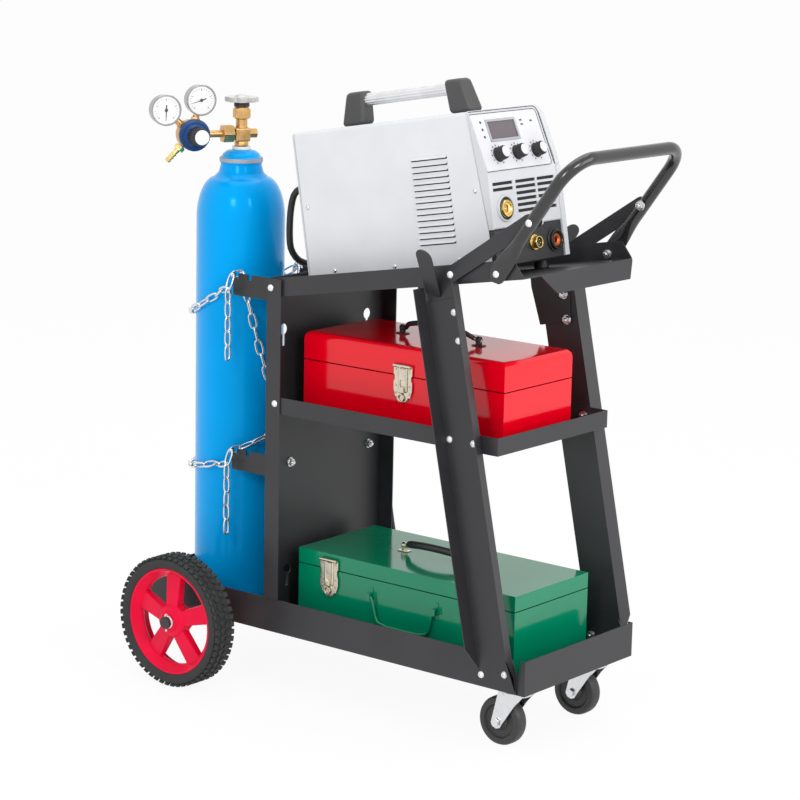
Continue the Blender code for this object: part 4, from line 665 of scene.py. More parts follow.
# Casters ------------------------------------------------------------------------------------------
# Zinc-plated swivel forks on bolted plates. Black rubber wheels turn on a bolt through the cheeks.
caster_black = coat("caster_black_rubber", (0.030, 0.030, 0.031), 0.5, grain=0.12, grain_scale=500,
                    patchy=0.1)
CASTER_X = 0.284
CASTER_TRAIL = 0.021
CASTER_R = 0.03175
for side, caster_name in ((-1, "left"), (1, "right")):
    y = side * 0.081
    settle(rounded_copy(caster_name + "_caster_plate", 0.0006), "cart", "zinc", bright_zinc,
           caster_name + "_caster_plate")
    settle(rounded_copy(caster_name + "_caster_fork", 0.0004), caster_name + "_caster", "zinc", bright_zinc,
           caster_name + "_caster_fork")
    plate_bolts = placed_copies(caster_name + "_plate_bolts", hexagon("bolt_head", 0.0085, -0.0040, -0.0002),
                                [LAYOUT @ Matrix.Translation((CASTER_X + u, y + v, 0.0792))
                                 for u in (-0.024, 0.0195) for v in (-0.016, 0.016)])
    settle(plate_bolts, "cart", "zinc", bright_zinc)
    axle = Vector((CASTER_X - CASTER_TRAIL, y, CASTER_R))
    spin_place = LAYOUT @ Matrix.Translation(axle) @ FACING_LEFT
    half = 0.011
    outer = [(0.0120, half - 0.0045), (0.0205, half - 0.0045), (0.0225, half - 0.0012),
             (0.0275, half - 0.0012), (0.0302, half - 0.0026), (CASTER_R - 0.0002, half - 0.0058)]
    roller = turned("tread", outer + [(CASTER_R, 0)] + [(r, -z) for r, z in reversed(outer)], 64, ring=True,
                    rounding=0.0005)
    inner = [(0.0044, half), (0.0090, half), (0.0098, half - 0.0015), (0.0122, half - 0.0040)]
    bush = turned("bush", inner + [(r, -z) for r, z in reversed(inner)], 40, ring=True, rounding=0.0004)
    roller = joined(caster_name + "_roller", roller, bush)
    settle(roller, caster_name + "_caster_roller", "caster_rubber", caster_black,
           caster_name + "_caster_wheel", at=spin_place)
    ends = [hexagon("axle_head", 0.0100, 0.0150, 0.0182), hexagon("axle_nut", 0.0095, -0.0186, -0.0150),
            turned("axle_thread", [(0, -0.0186), (0.0030, -0.0186), (0.0027, -0.0206), (0, -0.0206)], 16)]
    axle_bolt = joined(caster_name + "_caster_bolt", *ends)
    settle(axle_bolt, caster_name + "_caster", "zinc", bright_zinc, at=spin_place)

# Chains -------------------------------------------------------------------------------------------
# Two lengths of bright zinc chain hook into the arms' slots and go round the cylinder.
# The links keep the layout's places, and get round wire instead of a coarse one.


def rounder_copy(node, levels, swell):
    """The node's shape in four-sided faces, subdivided, and swollen by what that takes away."""
    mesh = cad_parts[node].data.copy()
    piece = bpy.data.objects.new(node + "_round", mesh)
    scene.collection.objects.link(piece)
    bm = bmesh.new()
    bm.from_mesh(mesh)
    bmesh.ops.remove_doubles(bm, verts=bm.verts[:], dist=1e-6)
    bmesh.ops.join_triangles(bm, faces=bm.faces[:], angle_face_threshold=math.radians(60),
                             angle_shape_threshold=math.radians(60))
    bm.to_mesh(mesh)
    bm.free()
    enter(piece)
    finer = piece.modifiers.new("finer", "SUBSURF")
    finer.levels = levels
    finer.render_levels = levels
    bpy.ops.object.modifier_apply(modifier=finer.name)
    fuller = piece.modifiers.new("fuller", "DISPLACE")
    fuller.strength = swell
    fuller.mid_level = 0.0
    bpy.ops.object.modifier_apply(modifier=fuller.name)
    return piece


for node in ("upper_chain", "lower_chain"):
    settle(rounder_copy(node, 1, 0.00048), "cart", "zinc", bright_zinc, node, smooth=60)

# Gas cylinder -------------------------------------------------------------------------------------
# A spun steel cylinder in gloss blue paint that stands on the tray, with a grey collar and a white
# seal at its neck. Shoulder and foot are one turned profile.
gas_blue = coat("gas_blue_paint", (0.0, 0.38, 0.90), 0.22, clear=0.08, grain=0.03, grain_scale=160,
                patchy=0.05, patch_scale=9, tint=0.04, sheen=(0.02, 0.50, 1.0))
collar_grey = coat("collar_grey", (0.42, 0.43, 0.45), 0.45, metallic=0.3, grain=0.1)
seal_white = coat("seal_white", (0.82, 0.82, 0.80), 0.5)
GAS_X = -0.260
GAS_R = 0.060
GAS_PLACE = LAYOUT @ Matrix.Translation((GAS_X, 0, 0))
SHOULDER_TOP_R = 0.034
SHOULDER_Z = 0.606
SHOULDER_RISE = 0.056
shoulder = [(SHOULDER_TOP_R + (GAS_R - SHOULDER_TOP_R) * math.cos(math.radians(a)),
             SHOULDER_Z + SHOULDER_RISE * math.sin(math.radians(a))) for a in range(0, 85, 7)]
foot = [(0, 0.0838), (0.0555, 0.0838), (0.0585, 0.0862), (GAS_R, 0.0960)]
neck = [(0.0345, 0.6640), (0.0338, 0.6646), (0.0312, 0.6672), (0.0300, 0.6692), (0.0276, 0.6790),
        (0.0276, 0.6800), (0.0286, 0.6806), (0.0286, 0.6884), (0.0262, 0.6896), (0.0245, 0.6930),
        (0.0190, 0.6970), (0.0120, 0.6985), (0, 0.6985)]
body = turned("cylinder_body", foot + shoulder + neck, 128)
settle(body, "cart", "blue_enamel", gas_blue, "gas_cylinder", smooth=30, at=GAS_PLACE)
collar = turned("neck_collar", [(0.0270, 0.6825), (0.0292, 0.6825), (0.0294, 0.6830), (0.0294, 0.6872),
                                (0.0292, 0.6877), (0.0270, 0.6877)], 96, ring=True)
settle(collar, "cart", "grey_plastic", collar_grey, at=GAS_PLACE)
seal = turned("neck_seal", [(0.0090, 0.6986), (0.0125, 0.6986), (0.0125, 0.7028), (0.0090, 0.7028)], 48,
              ring=True, rounding=0.0004)
settle(seal, "cart", "grey_paint", seal_white, at=GAS_PLACE)

# Cylinder valve and its handwheel -----------------------------------------------------------------
# Forged brass: body, hexagon gland nut, an inlet block with a port to the regulator and a plug.
# The clear lobed handwheel is pressed on the spindle over a black ring.
brass = coat("forged_brass", (0.66, 0.40, 0.16), 0.38, metallic=1.0, grain=0.12, grain_scale=420, patchy=0.10,
             patch_scale=70, tint=0.16)
clear_plastic = coat("clear_handwheel", (0.50, 0.50, 0.48), 0.14, clear=0.3, patch_scale=90, tint=0.22)
black_plastic = coat("black_plastic", (0.022, 0.022, 0.024), 0.42, grain=0.10, grain_scale=800,
                     patch_scale=60)
REG_TURN = math.radians(61.5)
OUTLET_Z = 0.720
PORT_TURN = Matrix.Translation((0, 0, OUTLET_Z)) @ Matrix.Rotation(REG_TURN, 4, "Z")
PORTS = GAS_PLACE @ PORT_TURN


def extruded(name, outline, low, high, rounding=0.0):
    """An outline in X and Y, raised from low to high on Z."""
    bm = bmesh.new()
    bottom = bm.faces.new([bm.verts.new((x, y, low)) for x, y in outline])
    raised = bmesh.ops.extrude_face_region(bm, geom=[bottom])["geom"]
    top = [part for part in raised if isinstance(part, bmesh.types.BMVert)]
    bmesh.ops.translate(bm, vec=(0, 0, high - low), verts=top)
    bmesh.ops.recalc_face_normals(bm, faces=bm.faces[:])
    piece = piece_of(name, bm)
    if rounding:
        soften(piece, rounding)
    return piece


def fluted(outer, inner, flutes, per_flute=6):
    """Round outline whose radius swings between outer and inner."""
    count = flutes * per_flute
    out = []
    for i in range(count):
        a = math.tau * i / count
        r = inner + (outer - inner) * (0.5 + 0.5 * math.cos(flutes * a)) ** 0.5
        out.append((r * math.cos(a), r * math.sin(a)))
    return out


def moved(piece, matrix):
    """Turns and shifts a piece's mesh."""
    piece.data.transform(matrix)
    return piece


stem = turned("stem", [(0, 0.7033), (0.0090, 0.7033), (0.0095, 0.7040), (0.0095, 0.7078), (0.0085, 0.7100),
                       (0.0085, 0.7270), (0.0078, 0.7300), (0.0078, 0.7392), (0.0098, 0.7400),
                       (0.0098, 0.7550), (0.0062, 0.7552), (0.0062, 0.7612), (0, 0.7612)],
              48, rounding=0.0004)
nut = hexagon("gland_nut", 0.0212, 0.7410, 0.7532)
inlet = moved(block("inlet_block", (-0.0110, -0.0095, -0.0105), (0.0100, 0.0095, 0.0080), 0.0022, 3),
              PORT_TURN)
port = moved(turned("port", [(0, 0), (0.0075, 0), (0.0075, 0.0008), (0.0062, 0.0014), (0.0062, 0.0120),
                             (0, 0.0120)], 32), PORT_TURN @ FACING_BACK)
plug_nut = moved(hexagon("plug", 0.0118, 0.0100, 0.0212), PORT_TURN @ FACING_X)
valve = joined("forged_valve", stem, nut, inlet, port, plug_nut)
settle(valve, "cart", "brass", brass, "cylinder_valve", at=GAS_PLACE)
WHEEL_Z = 0.766
lobed = extruded("lobes", fluted(0.0230, 0.0196, 8, 12), -0.0034, 0.0034, 0.0008)
crown = turned("crown", [(0, 0.0060), (0.0062, 0.0060), (0.0078, 0.0052), (0.0120, 0.0030), (0.0120, -0.0020),
                         (0.0080, -0.0040), (0, -0.0040)], 48)
handwheel = joined("lobed_handwheel", lobed, crown)
settle(handwheel, "valve_wheel", "clear_plastic", clear_plastic, "valve_handwheel",
       at=GAS_PLACE @ Matrix.Translation((0, 0, WHEEL_Z)))
under_ring = turned("under_ring", [(0.0066, 0.7560), (0.0105, 0.7560), (0.0105, 0.7608), (0.0066, 0.7608)],
                    40, ring=True, rounding=0.0004)
settle(under_ring, "cart", "black_plastic", black_plastic, at=GAS_PLACE)

# Regulator ----------------------------------------------------------------------------------------
# Brass body on the valve's port, a blue bonnet with a fluted screw knob, and a hose barb below.
# It hangs turned towards the left, as the photograph shows it.
REGULATOR = PORTS @ Matrix.Translation((-0.070, 0, 0))
blue_plastic = coat("blue_bonnet_plastic", (0.008, 0.045, 0.17), 0.32, tint=0.08, sheen=(0.5, 0.7, 1.0))
yellow_brass = coat("yellow_brass", (0.86, 0.66, 0.25), 0.24, metallic=1.0, grain=0.08, patchy=0.08,
                    patch_scale=80)
case = moved(turned("case", [(0, -0.0148), (0.0150, -0.0148), (0.0195, -0.0108), (0.0195, 0.0058),
                             (0.0186, 0.0070), (0, 0.0070)], 64), FACING_LEFT)
union = moved(hexagon("union_nut", 0.0220, 0.0421, 0.0571), FACING_X)
pipe = moved(turned("pipe", [(0, 0.0080), (0.0062, 0.0080), (0.0062, 0.0230), (0.0048, 0.0240),
                             (0.0048, 0.0430), (0, 0.0430)], 32), FACING_X)
gauge_places = (("contents_gauge", (0.0105, 0.0460)), ("outlet_gauge", (-0.0385, 0.0335)))
stems = []
for name, (x, z) in gauge_places:
    reach_out = math.hypot(x, z) - 0.0208 - GAP
    tube = turned("tube", [(0, 0.0060), (0.0046, 0.0060), (0.0046, reach_out), (0, reach_out)], 32)
    flats = hexagon("hexagon", 0.0110, 0.0180, min(0.0230, reach_out))
    stems.append(moved(joined("neck", tube, flats), Matrix.Rotation(math.atan2(x, z), 4, "Y")))
regulator = joined("regulator_case", case, union, pipe, *stems)
settle(regulator, "cart", "brass", brass, "regulator_body", at=REGULATOR)
barb_profile = [(0, -0.008), (0.0042, -0.008), (0.0042, 0.0050), (0.0058, 0.0056), (0.0058, 0.0118),
                (0.0040, 0.0126)]
for ridge in range(3):
    barb_profile += [(0.0031, 0.0190 + 0.0050 * ridge), (0.0044, 0.0196 + 0.0050 * ridge),
                     (0.0031, 0.0238 + 0.0050 * ridge)]
barb_turn = Matrix.Rotation(math.radians(225), 4, "Y")
barb = joined("hose_barb", turned("barb", barb_profile + [(0.0026, 0.0340), (0, 0.0340)], 40),
              hexagon("barb_nut", 0.0128, 0.0060, 0.0120))
settle(barb, "cart", "brass", yellow_brass, at=REGULATOR @ barb_turn @ Matrix.Translation((0, 0, 0.0160)))
bonnet = turned("bonnet", [(0, 0.0073), (0.0205, 0.0073), (0.0215, 0.0080), (0.0215, 0.0122),
                           (0.0205, 0.0130), (0.0168, 0.0134), (0.0160, 0.0150), (0.0150, 0.0170),
                           (0.0100, 0.0188), (0.0040, 0.0190), (0.0040, 0.0300), (0, 0.0300)], 64)
settle(bonnet, "cart", "blue_plastic", blue_plastic, "regulator_bonnet", at=REGULATOR @ FACING_LEFT)
flutes = extruded("flutes", fluted(0.0124, 0.0114, 20), 0.0202, 0.0400, 0.0004)
skirt = turned("skirt", [(0, 0.0200), (0.0120, 0.0200), (0.0125, 0.0206), (0.0125, 0.0220), (0, 0.0220)], 48)
nose = turned("nose", [(0, 0.0400), (0.0112, 0.0400), (0.0112, 0.0412), (0.0104, 0.0420), (0, 0.0420)], 48)
adjuster = joined("screw_knob", flutes, skirt, nose)
settle(adjuster, "regulator_screw", "black_plastic", black_plastic, "regulator_knob",
       at=REGULATOR @ FACING_LEFT)
knob_cap = turned("knob_cap", [(0, 0.0422), (0.0098, 0.0422), (0.0100, 0.0430), (0.0096, 0.0436),
                               (0, 0.0438)], 48)
settle(knob_cap, "regulator_screw", "grey_paint", seal_white, at=REGULATOR @ FACING_LEFT)

# Pressure gauges ----------------------------------------------------------------------------------
# Chromed cases with a rolled bezel, a white dial with plain strokes and a tapered black needle.
# One stands upright for the contents, the other leans left for the outlet.
chrome = coat("gauge_chrome", (0.40, 0.40, 0.42), 0.20, metallic=1.0, patch_scale=50, tint=0.06)
dial_white = coat("dial_white", (0.86, 0.86, 0.85), 0.4, tint=0.02)
needle_black = coat("needle_black", (0.07, 0.07, 0.075), 0.45)
needle_turns = {"contents_gauge": math.radians(108), "outlet_gauge": math.radians(178)}
for name, (x, z) in gauge_places:
    face = REGULATOR @ Matrix.Translation((x, 0, z)) @ FACING_LEFT
    shell = turned(name + "_case", [(0, -0.0085), (0.0180, -0.0085), (0.0198, -0.0068), (0.0200, 0.0050),
                                    (0.0208, 0.0056), (0.0208, 0.0088), (0.0203, 0.0095), (0.0193, 0.0095),
                                    (0.0186, 0.0074), (0, 0.0072)], 72)
    settle(shell, "cart", "chrome", chrome, name, at=face)
    dial = turned(name + "_dial", [(0, 0.00735), (0.0186, 0.00755), (0.0186, 0.0076), (0, 0.00775)], 48)
    settle(dial, "cart", "grey_paint", dial_white, at=face)
    marks = []
    for number in range(-10, 11):
        long_mark = number % 5 == 0
        turn = Matrix.Rotation(math.radians(13.5 * number), 4, "Z")
        reach = (0.0124 if long_mark else 0.0140, 0.0158)
        wide = 0.00028 if long_mark else 0.00014
        marks.append(moved(block("mark", (-wide, reach[0], 0.0076), (wide, reach[1], 0.00792), 0), turn))
    thin = extruded("needle", [(-0.0008, -0.0070), (0.0008, -0.0070), (0.0006, 0), (0.0002, 0.0140),
                               (-0.0002, 0.0140), (-0.0006, 0)], 0.0081, 0.0084)
    marks.append(moved(thin, Matrix.Rotation(needle_turns[name], 4, "Z")))
    marks.append(turned("boss", [(0, 0.0078), (0.0022, 0.0078), (0.0022, 0.0087), (0, 0.0089)], 24))
    print_and_needle = joined(name + "_marks", *marks)
    settle(print_and_needle, "cart", "black_plastic", needle_black, at=face)

# Welder cover and chassis -------------------------------------------------------------------------
# A folded sheet cover in light grey wrinkle paint, screwed over a black base on rubber feet.
# Its louvres are pressed outwards, so each slot has a lip along its top.
cover_grey = coat("light_grey_wrinkle_paint", (0.72, 0.73, 0.76), 0.46, grain=0.30, grain_scale=1500,
                  patchy=0.04, tint=0.025)
HALF = 0.074
settle(rounded_copy("welder_cover", 0.0004), "welder", "grey_paint", cover_grey, "welder_cover")
settle(rounded_copy("welder_chassis", 0.0006), "welder", "black_plastic", black_plastic, "welder_chassis")
LOUVRES = 15
LOUVRE_PITCH = 0.0075
FIRST_LOUVRE = 0.5875
lips = []
for number in range(LOUVRES):
    w = FIRST_LOUVRE + LOUVRE_PITCH * number
    for side in (-1, 1):
        lip = extruded("lip", [(0.2120, 0.0003), (0.2710, 0.0003), (0.2700, -0.0028), (0.2680, -0.0036),
                               (0.2150, -0.0036), (0.2130, -0.0028)], 0, 0.0007)
        slant = Matrix.Rotation(math.radians(58), 4, "X")
        place = Matrix.Translation((0, -HALF, w + 0.0030)) @ slant
        if side == 1:
            place = Matrix.Diagonal((1, -1, 1, 1)) @ place
        lips.append(moved(lip, place))
louvres = joined("louvre_lips", *lips)
enter(louvres)
bpy.ops.object.mode_set(mode="EDIT")
bpy.ops.mesh.select_all(action="SELECT")
bpy.ops.mesh.normals_make_consistent(inside=False)
bpy.ops.object.mode_set(mode="OBJECT")
settle(louvres, "welder", "grey_paint", cover_grey, at=SLOPE)
cover_screw = turned("screw", [(0, 0.0006), (0.0010, 0.0006), (0.0011, 0.0014), (0.0022, 0.0010),
                               (0.0030, 0.0002), (0, 0.0001)], 20)
screw_places = ((0.308, 0.648), (0.035, 0.648), (0.068, 0.564), (0.168, 0.5635), (0.272, 0.5655))
cover_screws = placed_copies("cover_screws", cover_screw,
                             [SLOPE @ Matrix.Translation((u, side * (HALF + 0.0001), w)) @ outward(side)
                              for side in (-1, 1) for u, w in screw_places])
settle(cover_screws, "welder", "zinc", bright_zinc)

# Welder front -------------------------------------------------------------------------------------
# A moulded silver-grey front with a raised bezel down its right side, a thin printed panel with a
# dark outline, a recessed blank display, and slots with black blocks behind them, painted shade of the
# welder's inside. The lower part is black.
fascia_grey = coat("silver_grey_plastic", (0.62, 0.63, 0.66), 0.34, grain=0.10, grain_scale=900, tint=0.03)
panel_grey = coat("panel_film", (0.70, 0.70, 0.74), 0.32, grain=0.04, tint=0.02)
dark_print = coat("dark_print", (0.045, 0.045, 0.05), 0.45)
screen_glass = coat("display_window", (0.115, 0.092, 0.105), 0.12, clear=0.5, tint=0.05)
# vent_black is near-black; behind the vent slots it is painted shade of the welder's inside.
vent_black = coat("vent_black", (0.008, 0.008, 0.009), 0.7)
FACE_U = 0.331
BREAK_W = 0.668
LEAN = math.atan2(0.020, 0.077)
PANEL = SLOPE @ Matrix.Translation((FACE_U, 0, BREAK_W)) @ Matrix.Rotation(-LEAN, 4, "Y")
UPRIGHT = SLOPE @ Matrix.Translation((FACE_U, 0, 0))
ACROSS = Matrix(((0, 0, 1, 0), (1, 0, 0, 0), (0, 1, 0, 0), (0, 0, 0, 1)))
front = rounded_copy("front_fascia", 0.0005)
CORNER_AT = (0.0652, 0.7354)
CORNER_R = 0.0100
rounded = [(CORNER_AT[0] + CORNER_R * math.cos(math.radians(a)),
            CORNER_AT[1] + CORNER_R * math.sin(math.radians(a))) for a in range(0, 91, 9)]
corner = extruded("corner", [(CORNER_AT[0], 0.7470), (0.0800, 0.7470), (0.0800, CORNER_AT[1])] + rounded,
                  0.28, 0.36)
corner.matrix_world = SLOPE @ ACROSS
cut_out(front, corner)
settle(front, "welder", "grey_plastic", fascia_grey, "front_fascia")
settle(rounded_copy("socket_panel", 0.0006), "welder", "black_plastic", black_plastic, "socket_panel")


def ribbon(name, points, wide, thick):
    """A thin strip along points that are given across and up a face."""
    bm = bmesh.new()
    rows = []
    for number, point in enumerate(points):
        before = Vector(points[max(0, number - 1)])
        after = Vector(points[min(len(points) - 1, number + 1)])
        along = (after - before).normalized()
        side = Vector((-along.y, along.x)) * wide / 2
        at = Vector(point)
        rows.append([bm.verts.new((x, *(at + side * k)))
                     for x, k in ((0, -1), (thick, -1), (thick, 1), (0, 1))])
    for one, other in zip(rows, rows[1:]):
        for i in range(4):
            bm.faces.new((one[i], one[(i + 1) % 4], other[(i + 1) % 4], other[i]))
    bm.faces.new(rows[0])
    bm.faces.new(list(reversed(rows[-1])))
    bmesh.ops.recalc_face_normals(bm, faces=bm.faces[:])
    return piece_of(name, bm)


def corner_points(y, s, radius, start):
    """Points of a quarter circle whose middle is (y, s), turning clockwise from start."""
    return [(y + radius * math.cos(math.radians(start - a)), s + radius * math.sin(math.radians(start - a)))
            for a in range(0, 91, 15)]


def frame_of(name, low, high, wide, thick, corner=0.002):
    """A thin rectangular ring drawn across and up a face."""
    def ring(inset):
        (y0, s0), (y1, s1) = low, high
        r = max(0.0002, corner - inset)
        out = []
        for cy, cs, start in ((y1 - inset - r, s1 - inset - r, 0), (y0 + inset + r, s1 - inset - r, 90),
                              (y0 + inset + r, s0 + inset + r, 180), (y1 - inset - r, s0 + inset + r, 270)):
            for step in range(5):
                a = math.radians(start + 22.5 * step)
                out.append((cy + r * math.cos(a), cs + r * math.sin(a)))
        return out
    bm = bmesh.new()
    outer, inner = ring(0.0), ring(wide)
    rows = [[bm.verts.new((x, y, s)) for y, s in ring_points] for x, ring_points in
            ((0, outer), (thick, outer), (thick, inner), (0, inner))]
    for one, other in zip(rows, rows[1:] + rows[:1]):
        for i in range(len(outer)):
            k = (i + 1) % len(outer)
            bm.faces.new((one[i], one[k], other[k], other[i]))
    bmesh.ops.recalc_face_normals(bm, faces=bm.faces[:])
    return piece_of(name, bm)


film = block("panel_film", (0.00005, -0.0744, 0.0012), (0.0005, 0.0600, 0.0750), 0.0002)
film.matrix_world = PANEL
hole = block("film_hole", (-0.01, -0.0490, 0.0380), (0.01, 0.0125, 0.0670), 0)
hole.matrix_world = PANEL
cut_out(film, hole)
settle(film, "welder", "grey_plastic", panel_grey)
inner_line = ([(-0.0746, 0.0750)] + corner_points(0.0540, 0.0690, 0.0060, 90)
              + corner_points(0.0540, 0.0072, 0.0060, 0) + [(-0.0746, 0.0012)])
outer_line = [(-0.0746, 0.0786)] + corner_points(0.0560, 0.0696, 0.0090, 90) + [(0.0650, 0.0010)]
outline = joined("panel_lines", ribbon("inner_line", inner_line, 0.0008, 0.0008),
                 ribbon("outer_line", outer_line, 0.0009, 0.0006))
settle(outline, "welder", "black_plastic", dark_print, at=PANEL)
bezel = frame_of("display_frame", (-0.0488, 0.0382), (0.0123, 0.0668), 0.0030, 0.0012, 0.002)
settle(bezel, "welder", "grey_plastic", collar_grey, at=PANEL)
screen = block("display_window", (-0.0019, -0.0460, 0.0408), (-0.0002, 0.0095, 0.0642), 0.0002)
settle(screen, "welder", "black_plastic", screen_glass, at=PANEL)
dots = []
for s in (0.0640, 0.0545, 0.0450):
    lamp_dot = turned("lamp", [(0, 0), (0.0017, 0), (0.0017, 0.0010), (0.0010, 0.0014), (0, 0.0014)], 16)
    dots.append(moved(lamp_dot, Matrix.Translation((0, -0.0585, s)) @ FACING_X))
for y, s in ((0.0235, 0.0620), (0.0235, 0.0565), (0.0440, 0.0600)):
    dots.append(block("mark", (0.0004, y - 0.0022, s - 0.0010), (0.0009, y + 0.0022, s + 0.0010), 0))
KNOB_S = 0.0212
KNOB_Y = {"left": -0.0435, "middle": -0.0045, "right": 0.0355}
DOTS_R = 0.0122
for y in KNOB_Y.values():
    for number in range(11):
        a = math.radians(-150 + 30 * number)
        dots.append(moved(turned("dot", [(0, 0.0004), (0.0009, 0.0004), (0.0009, 0.0009), (0, 0.0009)], 8),
                          Matrix.Translation((0, y + DOTS_R * math.sin(a), KNOB_S + DOTS_R * math.cos(a)))
                          @ FACING_X))
prints = joined("lamps_and_dots", *dots)
settle(prints, "welder", "black_plastic", dark_print, at=PANEL)
side_bezel = block("side_bezel", (-0.0030, 0.0658, 0.0010), (0.0022, 0.0750, 0.0700), 0.0012)
side_bezel.matrix_world = PANEL
lower_bezel = block("lower_bezel", (-0.0080, 0.0658, 0.5530), (0.0022, 0.0750, BREAK_W), 0.0012)
lower_bezel.matrix_world = UPRIGHT
for strip in (side_bezel, lower_bezel):
    settle(strip, "welder", "grey_plastic", fascia_grey)
# Black blocks behind the vent slots: painted shade standing in for the shaded inside of the welder.
backs = []
columns = ((-0.068, -0.027), (-0.021, 0.020), (0.024, 0.060))
rows = [(0.6535, columns), (0.6465, columns)]
rows += [(0.6390 - 0.0073 * row, columns[1:]) for row in range(4)]
for w, openings in rows:
    for y0, y1 in openings:
        backs.append(block("back", (-0.0029, y0 + 0.0002, w - 0.0018), (-0.0012, y1 - 0.0002, w + 0.0018), 0))
vent_painted_shade = joined("vent_painted_shade", *backs)
settle(vent_painted_shade, "welder", "black_plastic", vent_black, at=UPRIGHT)

# Control knobs ------------------------------------------------------------------------------------
# Black fluted knobs with a skirt and a silver cap, pressed on the shafts of three potentiometers.
# Each turns on its own axis, square to the panel.
silver_cap = coat("silver_cap", (0.78, 0.78, 0.79), 0.30, metallic=0.4, tint=0.04)
for side_name, y in KNOB_Y.items():
    place = PANEL @ Matrix.Translation((0, y, KNOB_S)) @ FACING_X
    flutes = extruded("flutes", fluted(0.0088, 0.0079, 18), 0.0024, 0.0118, 0.0004)
    skirt = turned("skirt", [(0.0040, 0.0010), (0.0094, 0.0010), (0.0096, 0.0014), (0.0090, 0.0026),
                             (0.0040, 0.0026)], 40, ring=True)
    nose = turned("nose", [(0, 0.0110), (0.0078, 0.0110), (0.0078, 0.0126), (0.0070, 0.0130),
                           (0, 0.0130)], 40)
    knob = joined(side_name + "_fluted_knob", flutes, skirt, nose)
    settle(knob, side_name + "_knob", "black_plastic", black_plastic, side_name + "_control_knob", at=place)
    cap = turned(side_name + "_knob_cap", [(0, 0.0131), (0.0064, 0.0131), (0.0068, 0.0136), (0.0062, 0.0142),
                                           (0, 0.0143)], 40)
    settle(cap, side_name + "_knob", "grey_paint", silver_cap, at=place)

# Sockets ------------------------------------------------------------------------------------------
# Torch socket: a gold-plated ring in a dark well with a silver rim. Control socket: threaded brass
# round a black pin face. Earth socket: a black shell with a copper core.
gold = coat("gold_plating", (0.90, 0.66, 0.22), 0.22, metallic=1.0, patch_scale=120, tint=0.10)
copper = coat("copper_core", (0.78, 0.20, 0.06), 0.32, metallic=0.8, patch_scale=120, tint=0.14)
AT_TORCH = UPRIGHT @ Matrix.Translation((0, -0.0475, 0.6225)) @ FACING_X
AT_CONTROL = UPRIGHT @ Matrix.Translation((0, 0.0053, 0.5755)) @ FACING_X
AT_EARTH = UPRIGHT @ Matrix.Translation((0, 0.0485, 0.5745)) @ FACING_X
sockets = [
    ("torch_ring", AT_TORCH, "brass", gold, ["torch_socket"],
     [(0.0048, -0.0055), (0.0122, -0.0055), (0.0122, 0.0010), (0.0106, 0.0018), (0.0106, 0.0036),
      (0.0100, 0.0044), (0.0078, 0.0044), (0.0070, 0.0026), (0.0048, 0.0020)]),
    ("torch_well", AT_TORCH, "black_plastic", vent_black, [],
     [(0.0110, 0.0012), (0.0143, 0.0012), (0.0143, 0.0017), (0.0110, 0.0019)]),
    ("torch_rim", AT_TORCH, "grey_plastic", fascia_grey, [],
     [(0.0138, 0.0001), (0.0168, 0.0001), (0.0164, 0.0024), (0.0152, 0.0032), (0.0143, 0.0026)]),
    ("earth_shell", AT_EARTH, "gloss_black_plastic", gloss_black, ["earth_socket"],
     [(0.0088, -0.0062), (0.0125, -0.0062), (0.0125, 0.0044), (0.0119, 0.0050), (0.0096, 0.0050),
      (0.0088, 0.0036)]),
    ("earth_rim", AT_EARTH, "black_plastic", black_plastic, [],
     [(0.0129, -0.0008), (0.0150, -0.0008), (0.0150, 0.0008), (0.0144, 0.0014), (0.0129, 0.0014)]),
    ("earth_core", AT_EARTH, "brass", copper, [],
     [(0.0038, -0.0060), (0.0084, -0.0060), (0.0084, 0.0020), (0.0076, 0.0028), (0.0056, 0.0028),
      (0.0038, 0.0008)]),
    ("control_shell", AT_CONTROL, "brass", gold, ["control_socket"],
     [(0.0060, -0.0060), (0.0078, -0.0060), (0.0078, 0.0072), (0.0073, 0.0080), (0.0064, 0.0080),
      (0.0060, 0.0072)]),
    ("control_flange", AT_CONTROL, "brass", gold, [],
     [(0.0079, -0.0009), (0.0098, -0.0009), (0.0098, 0.0010), (0.0092, 0.0016), (0.0079, 0.0016)])]
for name, place, slot_name, material, nodes, profile in sockets:
    ring = turned(name, profile, 64, ring=True)
    settle(ring, "welder", slot_name, material, *nodes, at=place)
hex_well = turned("torch_core", [(0, -0.0050), (0.0046, -0.0050), (0.0046, 0.0004), (0.0024, 0.0004),
                                 (0, -0.0020)], 32)
settle(hex_well, "welder", "brass", brass, at=AT_TORCH)
pin_face = turned("pin_face", [(0, -0.0058), (0.0058, -0.0058), (0.0058, 0.0036), (0, 0.0036)], 40)
settle(pin_face, "welder", "black_plastic", black_plastic, at=AT_CONTROL)
PINS = 5
pin_set = []
for number in range(PINS):
    a = math.tau * number / PINS
    pin = turned("pin", [(0, 0.0036), (0.0007, 0.0036), (0.0007, 0.0062), (0.0004, 0.0066), (0, 0.0066)], 12)
    pin_set.append(moved(pin, Matrix.Translation((0.0034 * math.cos(a), 0.0034 * math.sin(a), 0))))
pin_set = joined("control_pins", *pin_set)
settle(pin_set, "welder", "zinc", bright_zinc, at=AT_CONTROL)

# Carry handle -------------------------------------------------------------------------------------
# Two black moulded posts screwed to the cover hold a ribbed aluminium bar between them.
aluminium = coat("brushed_aluminium", (0.80, 0.80, 0.81), 0.34, metallic=0.9, patch_scale=60, tint=0.05)


def post(name, foot, head):
    """A moulded post: a wide foot, and a narrower head that leans towards the bar."""
    bm = bmesh.new()
    low, high = 0.7453, 0.7885
    for v in bmesh.ops.create_cube(bm, size=1.0)["verts"]:
        up_share = v.co.z + 0.5
        v.co = Vector((foot + (head - foot) * up_share + v.co.x * (0.0376 - 0.0076 * up_share),
                       v.co.y * (0.0268 - 0.0047 * up_share), low + (high - low) * up_share))
    return soften(piece_of(name, bm), 0.0058, 5)


